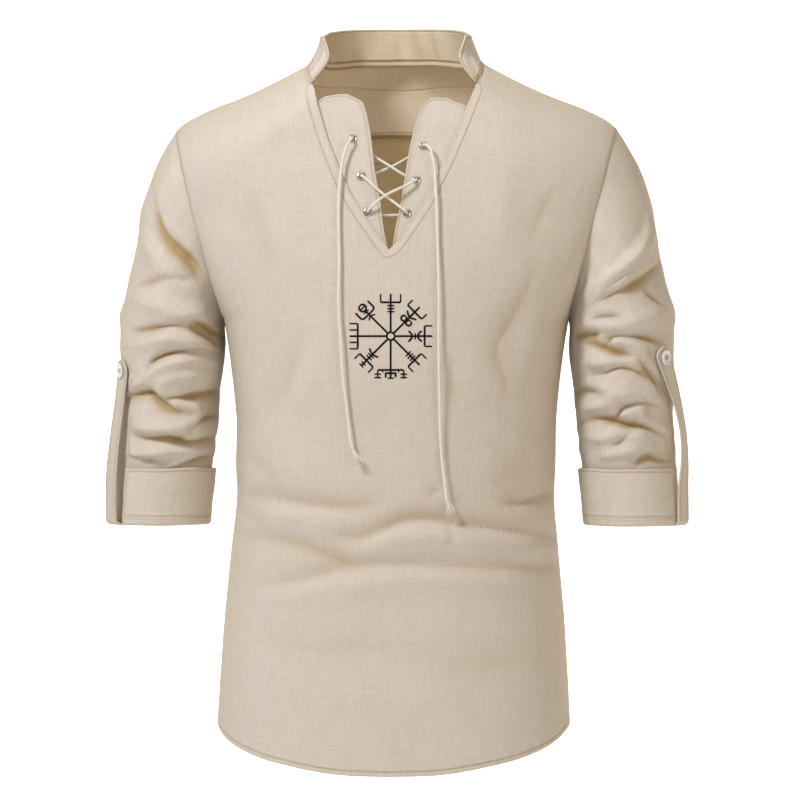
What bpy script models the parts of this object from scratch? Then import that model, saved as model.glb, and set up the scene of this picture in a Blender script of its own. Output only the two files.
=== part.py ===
"""Linen pullover shirt, worn: band collar, laced V slit, crumpled rolled sleeves with roll tabs.

Sizes are in millimetres and turned into metres where a mesh is made. +Z is up, the chest faces
-Y, and +X is the wearer's left. The origin lies in the middle of the neck, at the height where
the shoulders carry the cloth. Every panel is a bent grid of cloth with a Solidify modifier.
"""
import math

import bmesh
import bpy
import numpy as np
from mathutils import Matrix, Vector

MM = 0.001
CLOTH = 1.2          # thickness of one panel wall
BAND = 2.0           # thickness of collar, cuffs and roll tabs
SEAM_GAP = 0.3       # clear width between two pieces at a seam
HALF_SEAM = SEAM_GAP / 2

# The photograph shows the shirt from the front, a little from the wearer's left and from
# chest height. These values turn a place in it into millimetres, for a known depth.
PX_TO_MM = 1.03
PX_CENTRE = 396.5
PX_SHOULDER_LEVEL = 72.0
EYE_DISTANCE = 3400.0
EYE_LEVEL = -338.0
EYE_TURN = 0.047

# Body sections from the neck down to below the hem.
# z, half width, depth of the chest side, depth of the back side, shift of the middle
BODY_SECTIONS = (
    (60, 257.0, 60, 74, 0.0),
    (-20, 237.0, 79, 98, 0.0),
    (-64, 225.6, 91, 112, 0.0),
    (-110, 213.8, 104, 121, 0.0),
    (-160, 201.0, 115, 125, 0.0),
    (-210, 188.3, 123, 125, 0.0),
    (-254, 177.0, 127, 122, 0.0),
    (-272, 173.8, 128, 120, 0.0),
    (-301, 169.6, 128, 117, 0.0),
    (-330, 166.3, 127, 113, 0.0),
    (-358, 164.0, 125, 108, 0.0),
    (-400, 163.8, 124, 104, -0.5),
    (-445, 163.0, 124, 104, -1.0),
    (-474, 166.0, 126, 107, -1.5),
    (-517, 170.0, 128, 111, -1.8),
    (-560, 174.0, 130, 115, -2.0),
    (-604, 177.0, 132, 119, -2.3),
    (-647, 179.5, 134, 122, -2.5),
    (-700, 181.0, 136, 124, -2.5),
    (-760, 182.0, 137, 125, -2.5),
)
ARMPIT_Z = -254.0
ARMHOLE_MID_Z = -159.0
ARMHOLE_DEPTH = 65.0
CROWN_AT_SHOULDER = 1.25     # how soon the chest falls away to the side, at the shoulder
CROWN_LOW = 2.35             # and from the armpit down

# Top line of the shoulders: distance from the middle, height.
RIDGE = ((0, 45), (50, 30), (80, 12), (88, 8), (95, 4), (110, -4), (126, -12), (144, -20.6),
         (164, -29), (185, -37), (203, -45), (219, -54), (230, -64), (260, -95))
ROLL_AT_NECK = 55.0      # radius with which the cloth rolls over the shoulder
ROLL_AT_TIP = 95.0
NECK_HALF_WIDTH = 88.0
TIP_HALF_WIDTH = 226.5

YOKE_FORWARD = 16.0      # front shoulder seam, measured over the shoulder from its top line
YOKE_BACK_Z = -57.0      # back yoke seam, in the middle
YOKE_SEAM_DROP = 27.0    # it lies this much lower at the armholes
ARMHOLE_X_AT_YOKE = 217.7
SHOULDER_STATIONS = (226.3, 205, 180, 155, 130, 108)
NECK_EDGE_OUT = 1.5      # the panels stop this far outside the neck seam
COLLAR_LIFT = 0.9        # and the collar starts this far above it
SLEEVE_START = 0.9       # the sleeve starts this far outside the armhole seam, at the shoulder
SLEEVE_START_LOW = 1.8   # and this far at the armpit, where both walls hang side by side
ARMHOLE_OUTWARD = (0.97, 0.0, -0.24)
FOLDS_END_ROW = 13.0     # sleeve section where the folds have died out under the cuff
UNDER_TAB = 1.2          # highest fold under a roll tab
SLEEVE_RADIUS = 56.0     # usual radius of a sleeve, to turn angles into lengths
LEAST_BODY_FOLD = 10.0   # half width below which a fold would fall between the grid's rows
LEAST_SLEEVE_FOLD = 12.5

# Neck seam from the middle of the back round to the front corner.
# distance from the middle, distance over the shoulder line (+ to the back, - to the front)
NECK_SEAM = ((0, 60), (30, 52), (55, 42), (75, 25), (86, 0), (87, -27), (85.5, -45), (81, -59))
# Upper edge of the collar at the same stations, with the inward bulge of its open ends.
# x, y, z, bulge
COLLAR_TOP = ((0, 75, 52, 0), (28, 69, 51.5, 0), (49, 55, 49.5, 0), (66, 30, 45, 0),
              (75, 2, 38, 0), (76, -20, 34, 2), (75, -36, 33, 6), (72.5, -46, 33, 10))

# Edge of the V slit on the wearer's right and left, from the corner down, in the photograph.
V_EDGE_RIGHT_PX = ((314.5, 89), (317, 102), (324, 126), (331, 147), (344.5, 180), (359, 207), (389, 250))
V_EDGE_LEFT_PX = ((474.5, 89), (468, 105), (457, 132), (445, 160), (433, 184), (420, 208), (391, 250))
PANEL_TOP_RIGHT_PX = ((363, 101), (360, 96.5), (354, 93), (345, 93), (335, 94), (325.5, 96), (310, 103))
PANEL_TOP_LEFT_PX = ((421.7, 105.5), (427, 98), (432, 97), (438, 97.5), (451, 101), (462, 104), (476, 108))
PANEL_INNER_RIGHT_PX = ((363, 101), (366, 111), (371, 136), (374, 164), (380, 199), (384, 230), (389.5, 257))
PANEL_INNER_LEFT_PX = ((421.7, 105.5), (418, 116), (413.5, 131), (408, 157), (404, 183), (400, 206),
                       (395, 230), (391.5, 257))
PANEL_UNDERLAP = 8.0     # width of each eyelet panel that lies behind the V edge
PANEL_BEHIND = 2.4       # eyelet panels lie this far behind the front
PANEL_TOP_BEHIND = 1.4   # and this much farther at their upper edge, near the collar

# Hem height, from the middle out to the side seam: share of the half width, z.
HEM_FRONT = ((0.0, -711), (0.3, -709), (0.55, -702), (0.75, -694), (0.88, -685), (0.96, -676), (1.0, -669))
HEM_BACK = ((0.0, -718), (0.3, -716), (0.55, -709), (0.75, -699), (0.88, -688), (0.96, -677), (1.0, -669))

# Sleeve sections from the armhole to the turned edge, for the wearer's left side.
# outer x, outer z, inner x, inner z, half depth
SLEEVE_SECTIONS = (
    (227.0, -61, 178.9, -254, 65),
    (243.6, -84, 179.2, -258, 67),
    (256.0, -113, 179.0, -263, 69),
    (263.0, -145, 178.2, -269, 70),
    (268.0, -178, 177.4, -276, 70),
    (275.5, -211, 177.4, -285, 69),
    (281.7, -240, 178.4, -296, 68),
    (284.5, -266, 180.5, -309, 67),
    (285.0, -290, 182.5, -324, 66),
    (284.0, -313, 183.5, -340, 65),
    (283.0, -336, 184.6, -356, 63),
    (283.5, -359, 186.2, -373, 61),
    (285.0, -382, 189.0, -390, 58),
    (287.0, -404, 191.5, -408, 55),
    (289.0, -430, 194.0, -431, 52),
    (290.0, -463, 196.5, -463, 50),
)
# Cuff sections from its upper edge to the fold: outer x, inner x, half depth, z.
CUFF_SECTIONS = ((292.5, 187.5, 59.5, -408), (293.5, 189.0, 58.5, -424), (294.5, 191.0, 57.0, -442),
                 (295.5, 192.5, 56.0, -458), (294.8, 193.6, 55.0, -464.5), (290.5, 197.5, 50.5, -464.9))
# Open stretch of each cuff at its outer side, in degrees from straight out (+ to the front).
CUFF_SLIT_BACK = -24.0
CUFF_SLIT_FRONT = {-1: 51.0, 1: 43.0}    # wearer's right and left

# Main folds of the front, as seen in the photograph.
# height (troughs are negative), half width, lean, then places from end to end
FRONT_FOLDS = (
    (-5.0, 9, 0.25, ((243, 495), (269, 498), (316, 506), (352, 508), (380, 503))),
    (4.0, 11, 0.0, ((255, 511), (304, 517), (352, 524))),
    (-6.0, 10, 0.25, ((333, 538), (363, 537), (389, 527), (415, 519), (446, 521), (493, 528), (556, 536))),
    (4.0, 12, 0.0, ((360, 552), (400, 538), (446, 536), (500, 545), (548, 550))),
    (-4.5, 10, 0.3, ((500, 503), (526, 502), (556, 492))),
    (-5.0, 11, 0.3, ((238, 536), (269, 539), (304, 548), (335, 560), (352, 566))),
    (-4.5, 13, 0.2, ((248, 584), (281, 584), (311, 577), (352, 567), (400, 564), (470, 567), (528, 568),
                     (560, 560))),
    (3.0, 14, 0.0, ((262, 598), (320, 592), (400, 580), (470, 582), (530, 584))),
)
# Main folds of the back, in millimetres across and up.
BACK_FOLDS = (
    (-5.0, 12, 0.2, ((-150, -430), (-90, -446), (-20, -450), (60, -438))),
    (-5.0, 12, -0.2, ((150, -424), (100, -452), (30, -470), (-40, -474))),
    (-4.5, 13, 0.2, ((-152, -486), (-80, -500), (20, -506), (110, -494), (154, -478))),
    (4.0, 14, 0.0, ((-140, -466), (-60, -480), (20, -486), (100, -476))),
    (-3.5, 14, 0.0, ((-120, -545), (-20, -548), (90, -538))),
)
# Main folds of each sleeve, as seen in the photograph.
SLEEVE_FOLDS_RIGHT = (
    (-5.5, 6, 0.5, ((149, 203), (169, 239), (196, 269), (215, 289), (222, 308))),
    (3.5, 9, 0.0, ((134, 262), (150, 268), (172, 270))),
    (-4.0, 8, 0.3, ((130, 286), (149, 282), (171, 279), (193, 283))),
    (4.5, 9, 0.0, ((128, 297), (156, 304), (185, 315), (207, 310))),
    (-5.0, 8, 0.2, ((126, 332), (151, 329), (180, 325), (214, 334), (222, 345))),
    (5.0, 9, 0.0, ((124, 350), (150, 344), (185, 340), (212, 348))),
    (-6.5, 7, 0.3, ((124, 378), (140, 372), (152, 361), (180, 352), (214, 354))),
    (5.5, 8, 0.0, ((126, 388), (146, 379), (162, 365), (190, 364), (212, 368))),
    (-6.0, 7, 0.2, ((124, 400), (150, 393), (176, 410), (196, 398), (215, 388))),
    (6.0, 9, 0.0, ((212, 404), (194, 414), (162, 418), (130, 412))),
    (-6.5, 7, 0.3, ((214, 420), (198, 428), (176, 436), (150, 434), (126, 428))),
    (5.5, 8, 0.0, ((126, 444), (150, 449), (180, 447), (210, 448))),
    (-5.0, 6, 0.2, ((126, 457), (155, 461), (189, 460), (208, 456))),
)
SLEEVE_FOLDS_LEFT = (
    (4.0, 9, 0.3, ((648, 214), (646, 238), (626, 263), (600, 286), (582, 308))),
    (-4.0, 7, 0.3, ((656, 228), (644, 250), (620, 276), (598, 294))),
    (4.0, 9, 0.0, ((664, 252), (640, 270), (612, 286), (590, 302))),
    (-4.5, 7, 0.3, ((664, 262), (648, 276), (620, 292), (594, 306))),
    (-4.5, 7, 0.2, ((668, 296), (650, 300), (628, 312), (592, 318))),
    (5.0, 10, 0.0, ((670, 316), (640, 322), (600, 330), (574, 326))),
    (-5.5, 7, 0.2, ((664, 343), (642, 338), (612, 340), (574, 338))),
    (5.5, 8, 0.2, ((612, 345), (632, 346), (652, 364), (668, 388), (672, 404))),
    (-6.0, 7, 0.3, ((576, 346), (600, 356), (626, 362), (648, 382), (664, 402))),
    (5.5, 8, 0.0, ((576, 362), (604, 366), (628, 376), (644, 392))),
    (-6.0, 7, 0.2, ((576, 384), (604, 374), (630, 384), (648, 400))),
    (5.5, 8, 0.0, ((580, 400), (610, 396), (640, 402), (668, 402))),
    (-6.5, 7, 0.3, ((580, 424), (604, 415), (628, 410), (666, 408))),
    (6.0, 9, 0.0, ((584, 436), (612, 420), (642, 420), (676, 432))),
    (-6.0, 7, 0.2, ((582, 446), (606, 440), (636, 436), (676, 444))),
    (-4.0, 6, 0.0, ((636, 466), (650, 458), (678, 461))),
)

# Roll tabs, from the button end down over the cuff and in under its fold.
# degrees from straight out (+ to the front), z, distance outside the sleeve's section
TAB_WIDTH = 25.0
TAB_ROUTE_RIGHT = ((33, -297, 3.8), (33, -313, 3.4), (32, -335, 6.5), (32, -365, 10.0), (32, -395, 11.4),
                   (32, -415, 11.4), (31, -440, 10.0), (31, -460, 9.2))
TAB_ROUTE_LEFT = ((46, -284, 5.5), (44, -298, 4.5), (34, -320, 6.5), (22, -345, 9.5), (17, -372, 12.0),
                  (19, -400, 11.5), (24, -425, 9.8), (26, -445, 9.5), (26, -460, 9.2))
TAB_FOLD_RADIUS = 5.0
TAB_CLEARING = 0.62      # the sleeve lies flat this share of a tab's width to each side of its middle
TAB_CLEARING_FADE = 10.0
BUTTON_RADIUS = 7.5
BUTTON_THICK = 2.6
BUTTON_DISH = 1.5        # height of the sunk face inside the rim
BUTTON_HOLE = 0.95       # radius of a thread hole
BUTTON_HOLE_OFF = 1.5    # from the middle, both ways
BUTTON_FROM_END = 11.0

# Eyelets in the photograph, from the top down.
EYELETS_RIGHT_PX = ((352.7, 138.0), (361.3, 175.6), (368.0, 211.4))
EYELETS_LEFT_PX = ((423.3, 145.4), (416.6, 179.8), (407.2, 213.0))
EYELET_OUTER = 4.5
EYELET_BORE = 2.3
EYELET_BARREL = 2.75
EYELET_HOLE = 3.15       # hole cut in the panel
EYELET_PROUD = 0.95      # height of its flange over the panel
EYELET_BACK = 0.5        # its barrel shows this much behind the panel
CUTTER_DEPTH = 8.0

LACE = 2.8               # diameter
# Free ends: places in the photograph and the distance of the lace's middle from the front.
END_RIGHT_ROUTE = ((352.7, 138, -1.6), (352.6, 138.1, 0.8), (352.2, 139.2, 3.2), (350.6, 142.2, 5.4),
                   (346.5, 150, 5.4), (342.5, 165, 5.0), (340.5, 185, 5.0), (339.3, 206, 4.8),
                   (339.4, 230, 4.4), (340, 257, 4.2), (339.7, 281, 4.2), (339.5, 305, 4.4),
                   (341.7, 338, 5.0), (343.2, 361, 5.6), (345, 384, 5.8), (347, 400, 5.4),
                   (349.2, 419, 5.4), (351.5, 438, 6.0), (354, 450, 6.4))
END_LEFT_ROUTE = ((423.3, 145.4, -1.6), (423.4, 145.4, 0.8), (424.4, 145.9, 3.2), (427.4, 147.6, 5.4),
                  (431.6, 153.5, 5.4), (434.6, 170, 5.0), (436, 192, 5.0), (437, 212, 4.8),
                  (437.6, 236, 4.4), (438.4, 264, 4.2), (439, 292, 4.4), (438.5, 338, 5.0),
                  (438.7, 372, 5.4), (439.3, 407, 5.6), (439.7, 429, 5.4), (441, 453, 5.0),
                  (443.5, 476.5, 5.2), (445, 491, 5.8), (446, 500, 6.2))
# Laced stretch, from the upper right eyelet to the upper left one.
CROSSING_ROUTE = ((352.7, 138, -2.4), (352.8, 138.1, -5.0), (356, 141, -7.6), (364, 147, -8.4),
                  (376, 155, -8.6), (389, 163, -8.6), (402, 171.5, -8.2), (412.5, 177.4, -7.2),
                  (416.4, 179.7, -5.0), (416.6, 179.8, -2.0), (416.5, 180, 0.8), (413.8, 182.4, 3.2),
                  (406, 187, 4.8), (397, 191.6, 6.4), (387.5, 196.4, 6.8), (378, 202.4, 5.8),
                  (371, 208.4, 3.6), (368.2, 211.2, 1.0), (368, 211.4, -2.0), (368.2, 211.5, -5.0),
                  (372, 212.2, -7.2), (379, 213.0, -7.6), (388, 213.4, -7.6), (397, 213.4, -7.6),
                  (403.6, 213.1, -7.2), (407, 213, -5.0), (407.2, 213, -2.0), (406.8, 212.7, 0.8),
                  (403.4, 210.2, 2.8), (396, 204.4, 2.9), (387.5, 198, 2.7), (378, 190.4, 2.8),
                  (367.5, 181, 3.2), (362.4, 176.6, 2.8), (361.4, 175.7, 0.8), (361.3, 175.6, -2.0),
                  (361.5, 175.5, -5.2), (365.5, 173.6, -8.6), (376, 169.2, -11.8), (390, 163, -12.6),
                  (402, 157.2, -11.8), (415, 150.4, -9.0), (421.6, 146.6, -7.4), (423.2, 145.5, -5.0),
                  (423.3, 145.4, -2.4))
TASSEL_RIGHT_TIP_PX = (361.5, 465.5)
TASSEL_LEFT_TIP_PX = (450.5, 514.0)
TASSEL_HEAD = 3.4        # diameter
TASSEL_HEAD_LONG = 3.0
TASSEL_TIP_OFF = 7.0     # the strands' tips stand this far off the cloth
TASSEL_STRANDS = 14
TASSEL_SPREAD = 0.62     # how far the strands fan out, as a share of their length

LINEN = (0.72, 0.65, 0.52, 1.0)
LACE_WHITE = (0.80, 0.77, 0.71, 1.0)
PEARL = (0.80, 0.81, 0.84, 1.0)
METAL = (0.62, 0.62, 0.63, 1.0)


def smooth(at, knots, values):
    """Reads a table column between its rows, on a curve through them."""
    knots = np.asarray(knots, float)
    values = np.asarray(values, float)
    slopes = np.gradient(values, knots)
    at = np.clip(np.asarray(at, float), knots[0], knots[-1])
    low = np.clip(np.searchsorted(knots, at, side="right") - 1, 0, len(knots) - 2)
    span = knots[low + 1] - knots[low]
    f = (at - knots[low]) / span
    start = (2 * f**3 - 3 * f**2 + 1) * values[low] + (f**3 - 2 * f**2 + f) * span * slopes[low]
    end = (3 * f**2 - 2 * f**3) * values[low + 1] + (f**3 - f**2) * span * slopes[low + 1]
    return start + end


def column(table, number):
    return np.array([row[number] for row in table], float)


def along_table(share, table):
    """Points on a smooth curve through a table's rows, for shares 0 to 1 of its rows."""
    knots = np.linspace(0.0, 1.0, len(table))
    return np.stack([smooth(share, knots, column(table, k)) for k in range(len(table[0]))], axis=-1)


def body_at(z, number):
    return smooth(-np.asarray(z, float), -column(BODY_SECTIONS, 0), column(BODY_SECTIONS, number))


def ridge_height(x):
    return smooth(np.abs(x), column(RIDGE, 0), column(RIDGE, 1))


def roll_radius(x):
    share = np.clip((np.abs(x) - NECK_HALF_WIDTH) / (TIP_HALF_WIDTH - NECK_HALF_WIDTH), 0.0, 1.0)
    return ROLL_AT_NECK + (ROLL_AT_TIP - ROLL_AT_NECK) * share


def height_over(x, over):
    """Height of the cloth at a distance measured over the shoulder from its top line."""
    radius = roll_radius(x)
    angle = np.minimum(over / radius, math.pi / 2)
    below = np.maximum(over - radius * math.pi / 2, 0.0)
    return ridge_height(x) - radius * (1 - np.cos(angle)) - below


def over_height(x, z):
    """The inverse: the distance over the shoulder at a height."""
    radius = roll_radius(x)
    drop = np.maximum(ridge_height(x) - z, 0.0)
    rolled = radius * np.arccos(np.clip(1 - drop / radius, 0.0, 1.0))
    return rolled + np.maximum(drop - radius, 0.0)


def body_depth(x, z, over, back):
    """Distance of the cloth from the shoulder line's plane, to the chest or to the back."""
    middle = body_at(z, 3 if back else 2)
    low = np.clip((ARMHOLE_MID_Z - z) / (ARMHOLE_MID_Z - ARMPIT_Z), 0.0, 1.0)
    side = ARMHOLE_DEPTH * np.sqrt(1 - low**2)
    across = np.clip(np.abs(x - body_at(z, 4)) / body_at(z, 1), 0.0, 1.0)
    bend = CROWN_AT_SHOULDER + (CROWN_LOW - CROWN_AT_SHOULDER) * low
    crown = (1 - across**CROWN_LOW) ** (1 / bend)
    rolled = np.sin(np.minimum(over / roll_radius(x), math.pi / 2))
    return (side + (middle - side) * crown) * rolled


def body_point(x, over, back):
    z = height_over(x, over)
    depth = body_depth(x, z, over, back)
    return np.stack([x, depth if back else -depth, z], axis=-1)


def body_point_at(x, z, back=False):
    return body_point(x, over_height(x, z), back)


def from_photo(px, py):
    """The place on the chest side that the photograph shows at a pixel."""
    x = (np.asarray(px, float) - PX_CENTRE) * PX_TO_MM
    z = (PX_SHOULDER_LEVEL - np.asarray(py, float)) * PX_TO_MM
    y = np.full(np.shape(x), -100.0)
    for _ in range(4):
        true_x = x * (1 + y / EYE_DISTANCE) - EYE_TURN * y
        true_z = (z - EYE_LEVEL) * (1 + y / EYE_DISTANCE) + EYE_LEVEL
        y = body_point_at(true_x, true_z)[..., 1]
    return true_x, true_z


def chest_point(px, py, outside):
    """A point in front of the chest surface, by its distance from it."""
    x, z = from_photo(px, py)
    step = 2.0
    here = body_point_at(x, z)
    across = body_point_at(x + step, z) - here
    up = body_point_at(x, z + step) - here
    normal = np.cross(across, up)
    normal /= np.linalg.norm(normal, axis=-1, keepdims=True)
    return here + normal * np.asarray(outside, float)[..., None], normal


def grid_normals(points, closed):
    """Outward normals of a grid of points whose rows run up and columns run to +X at the front."""
    if closed:
        ring = points[:, :-1]
        across = np.roll(ring, -1, axis=1) - np.roll(ring, 1, axis=1)
        across = np.concatenate([across, across[:, :1]], axis=1)
    else:
        across = np.gradient(points, axis=1)
    up = np.gradient(points, axis=0)
    normals = np.cross(across, up)
    return normals / np.maximum(np.linalg.norm(normals, axis=-1, keepdims=True), 1e-9)


def fold_heights(places, folds, least, samples=20):
    """Height of the cloth over its smooth form, from a table of ridges and troughs."""
    flat = places.reshape(-1, 2)
    total = np.zeros(len(flat))
    for height, width, lean, path in folds:
        line = along_table(np.linspace(0, 1, samples), path)
        best = np.full(len(flat), 1e9)
        signed = np.zeros(len(flat))
        share = np.zeros(len(flat))
        for k in range(samples - 1):
            run = line[k + 1] - line[k]
            reach = flat - line[k]
            f = np.clip(reach @ run / max(run @ run, 1e-9), 0.0, 1.0)
            away = reach - f[:, None] * run
            distance = np.hypot(away[:, 0], away[:, 1])
            nearer = distance < best
            side = np.sign(run[0] * reach[:, 1] - run[1] * reach[:, 0])
            signed = np.where(nearer, side * distance, signed)
            share = np.where(nearer, (k + f) / (samples - 1), share)
            best = np.minimum(best, distance)
        width = max(width, least)
        spread = np.where(signed > 0, width * (1 + lean), width * (1 - lean))
        fade = np.sqrt(np.clip(np.sin(math.pi * np.clip(share, 0.02, 0.98)), 0.0, 1.0))
        total += height * fade * np.exp(-(signed / spread) ** 2)
    return total.reshape(places.shape[:-1])


def photo_places(rows):
    """Fold paths from the photograph, as places across and up on the chest side."""
    turned = []
    for height, width, lean, path in rows:
        x, z = from_photo(column(path, 0), column(path, 1))
        turned.append((height, width, lean, tuple(zip(x, z))))
    return turned


def edge_stations(parts, fineness):
    """Stations along an edge made of several smooth parts that meet at corners."""
    stations = []
    for part in parts:
        run = along_table(np.linspace(0, 1, (len(part) - 1) * fineness + 1), part)
        stations += list(run[1:] if stations else run)
    return np.array(stations)


def mirrored_parts(half):
    """The parts of one half of an edge, from its outer end, and the same on the other side."""
    other = [tuple((-x, over) for x, over in part[::-1]) for part in half[::-1]]
    return list(half) + other


def front_top_edge(fineness):
    """Upper edge of the front: shoulder seam, neck seam, V edge, and the same on the other side."""
    parts = []
    for side, v_edge in ((-1, V_EDGE_RIGHT_PX), (1, V_EDGE_LEFT_PX)):
        v_x, v_z = from_photo(column(v_edge, 0), column(v_edge, 1))
        corner = (side * (NECK_SEAM[5][0] + NECK_EDGE_OUT + 0.8), YOKE_FORWARD + HALF_SEAM)
        shoulder = [(side * x, YOKE_FORWARD + HALF_SEAM) for x in SHOULDER_STATIONS] + [corner]
        neck = [corner] + [(side * (x + NECK_EDGE_OUT), -over) for x, over in NECK_SEAM[5:7]]
        slit = list(zip(v_x, over_height(v_x, v_z)))
        parts.append((shoulder, neck + [slit[0]], slit))
    right, left = parts
    return edge_stations(list(right) + [part[::-1] for part in left[::-1]], fineness)


def solve_point(share, over, back):
    """A body point by its share of the half width and its distance over the shoulder."""
    z = np.full(np.shape(share), -300.0)
    for _ in range(8):
        x = share * body_at(z, 1) + body_at(z, 4)
        z = height_over(x, over)
    return body_point(x, over, back)


def panel_grid(edge, hem, rows, back):
    """A front or back panel: columns run from the hem up to the panel's upper edge."""
    across = np.linspace(-1, 1, len(edge))
    hem_share = np.sin(across * math.pi / 2)
    hem_z = smooth(np.abs(hem_share), column(hem, 0), column(hem, 1))
    hem_x = hem_share * body_at(hem_z, 1) + body_at(hem_z, 4)
    hem_over = over_height(hem_x, hem_z)
    top_x, top_over = edge[:, 0], edge[:, 1]
    top_z = height_over(top_x, top_over)
    top_share = np.clip((top_x - body_at(top_z, 4)) / body_at(top_z, 1), -1, 1)
    top_share[0], top_share[-1] = -1.0, 1.0
    up = np.asarray(rows)[:, None]
    over = hem_over + (top_over - hem_over) * up
    blend = np.clip((up - 0.35) / 0.65, 0, 1) ** 1.6
    share = hem_share + (top_share - hem_share) * blend
    points = solve_point(share, over, back)
    low_side = points[..., 2] < ARMPIT_Z
    for end in (0, -1):
        gap = HALF_SEAM if back else -HALF_SEAM
        points[:, end, 1] = np.where(low_side[:, end], gap, points[:, end, 1])
    return points


def even_rows(count, dense_from, dense_to, density):
    """Row shares from 0 to 1 that lie closer together in one stretch."""
    fine = np.linspace(0, 1, 400)
    weight = np.where((fine > dense_from) & (fine < dense_to), density, 1.0)
    weight = np.where(fine > 0.88, 1.8, weight)
    total = np.concatenate([[0], np.cumsum(weight)[:-1]])
    return np.interp(np.linspace(0, 1, count), total / total[-1], fine)


def front_points(row_count=27, fineness=1):
    rows = even_rows(row_count, 0.14, 0.42, 2.2)
    points = panel_grid(front_top_edge(fineness), HEM_FRONT, rows, back=False)
    heights = fold_heights(points[..., (0, 2)], photo_places(FRONT_FOLDS), LEAST_BODY_FOLD)
    edge_fade = np.clip(-points[..., 1] / 30.0, 0, 1)
    return points + grid_normals(points, False) * (heights * edge_fade)[..., None]


def back_points(row_count=18, column_count=19):
    x = np.linspace(-ARMHOLE_X_AT_YOKE, ARMHOLE_X_AT_YOKE, column_count)
    edge = np.stack([x, over_height(x, yoke_seam_z(x) - HALF_SEAM)], axis=-1)
    rows = even_rows(row_count, 0.2, 0.5, 1.8)
    points = panel_grid(edge, HEM_BACK, rows, back=True)
    heights = fold_heights(points[..., (0, 2)], BACK_FOLDS, LEAST_BODY_FOLD)
    edge_fade = np.clip(points[..., 1] / 30.0, 0, 1)
    return points - grid_normals(points, False) * (heights * edge_fade)[..., None]


def signed_point(share, over):
    """A body point by its share of the half width; behind the shoulder line `over` is positive."""
    front = solve_point(share, np.maximum(-over, 0.0), back=False)
    back = solve_point(share, np.maximum(over, 0.0), back=True)
    return np.where((over > 0)[..., None], back, front)


def yoke_seam_z(x):
    return YOKE_BACK_Z - YOKE_SEAM_DROP * (x / ARMHOLE_X_AT_YOKE) ** 2


def yoke_points(row_count=6, fineness=1):
    corner = (-NECK_SEAM[5][0] - NECK_EDGE_OUT - 0.8, -YOKE_FORWARD + HALF_SEAM)
    shoulder = [(-x, -YOKE_FORWARD + HALF_SEAM) for x in SHOULDER_STATIONS] + [corner]
    neck = [(-x - NECK_EDGE_OUT, over) for x, over in NECK_SEAM[4:1:-1]]
    neck += [(-NECK_SEAM[1][0], NECK_SEAM[1][1] + NECK_EDGE_OUT), (0.0, NECK_SEAM[0][1] + NECK_EDGE_OUT)]
    edge = edge_stations(mirrored_parts((shoulder, [corner] + neck)), fineness)
    low_x = np.linspace(-ARMHOLE_X_AT_YOKE, ARMHOLE_X_AT_YOKE, len(edge))
    low_z = yoke_seam_z(low_x) + HALF_SEAM
    low_over = over_height(low_x, low_z)
    top_z = height_over(edge[:, 0], np.abs(edge[:, 1]))
    top_share = edge[:, 0] / body_at(top_z, 1)
    low_share = low_x / body_at(low_z, 1)
    for shares in (top_share, low_share):
        shares[0], shares[-1] = -1.0, 1.0
    up = np.linspace(0, 1, row_count)[:, None]
    return signed_point(low_share + (top_share - low_share) * up, low_over + (edge[:, 1] - low_over) * up)


def collar_points(row_count=5, column_count=27):
    across = np.linspace(-1, 1, column_count)
    seam = along_table(np.abs(across), NECK_SEAM)
    side = np.sign(across)
    share = side * seam[:, 0] / body_at(height_over(seam[:, 0], np.abs(seam[:, 1])), 1)
    bottom = signed_point(share, seam[:, 1])
    top = along_table(np.abs(across), COLLAR_TOP)
    rise = np.stack([side * top[:, 0], top[:, 1], top[:, 2]], axis=-1) - bottom
    length = np.linalg.norm(rise, axis=-1)
    start = COLLAR_LIFT / length
    up = start + (1 - start) * np.linspace(0, 1, row_count)[:, None]
    points = bottom + rise * up[..., None]
    points[..., 0] -= side * top[:, 3] * np.sin(math.pi * up) ** 1.5
    return points


def panel_points(side, row_count=13, column_count=5):
    """One eyelet panel, behind the V edge, as seen from the front."""
    right = side < 0
    inner = PANEL_INNER_RIGHT_PX if right else PANEL_INNER_LEFT_PX
    v_edge = V_EDGE_RIGHT_PX if right else V_EDGE_LEFT_PX
    top = PANEL_TOP_RIGHT_PX if right else PANEL_TOP_LEFT_PX
    inner_x, inner_z = from_photo(column(inner, 0), column(inner, 1))
    outer_x, outer_z = from_photo(column(v_edge, 0), column(v_edge, 1))
    top_x, top_z = from_photo(column(top, 0), column(top, 1))
    low = inner_z.min()
    share = np.linspace(0, 1, column_count)
    up = np.linspace(0, 1, row_count)[:, None]
    arch = smooth(share, np.linspace(0, 1, len(top_z)), top_z)
    z = low + (arch - low) * up
    inside = smooth(z, inner_z[::-1], inner_x[::-1])
    underlap = PANEL_UNDERLAP * np.clip((-z - 22.0) / 50.0, 0.2, 1.0)
    outside = smooth(z, outer_z[::-1], outer_x[::-1]) + side * underlap
    points = body_point_at(inside + (outside - inside) * share, z)
    columns = points[:, ::-1] if right else points
    behind = PANEL_BEHIND + PANEL_TOP_BEHIND * np.clip((columns[..., 2] + 62.0) / 25.0, 0, 1)
    return columns - grid_normals(columns, False) * behind[..., None]


def armhole_ring(angle):
    """The armhole seam of the wearer's left side; angle 0 is the shoulder tip, a quarter turn front."""
    top = SLEEVE_SECTIONS[0][1]
    z = top - (top - ARMPIT_Z) / 2 * (1 - np.cos(angle))
    x = body_at(z, 1)
    over = over_height(x, z)
    depth = np.where(np.sin(angle) >= 0, -body_depth(x, z, over, False), body_depth(x, z, over, True))
    return np.stack([x, depth, z], axis=-1)


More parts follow.
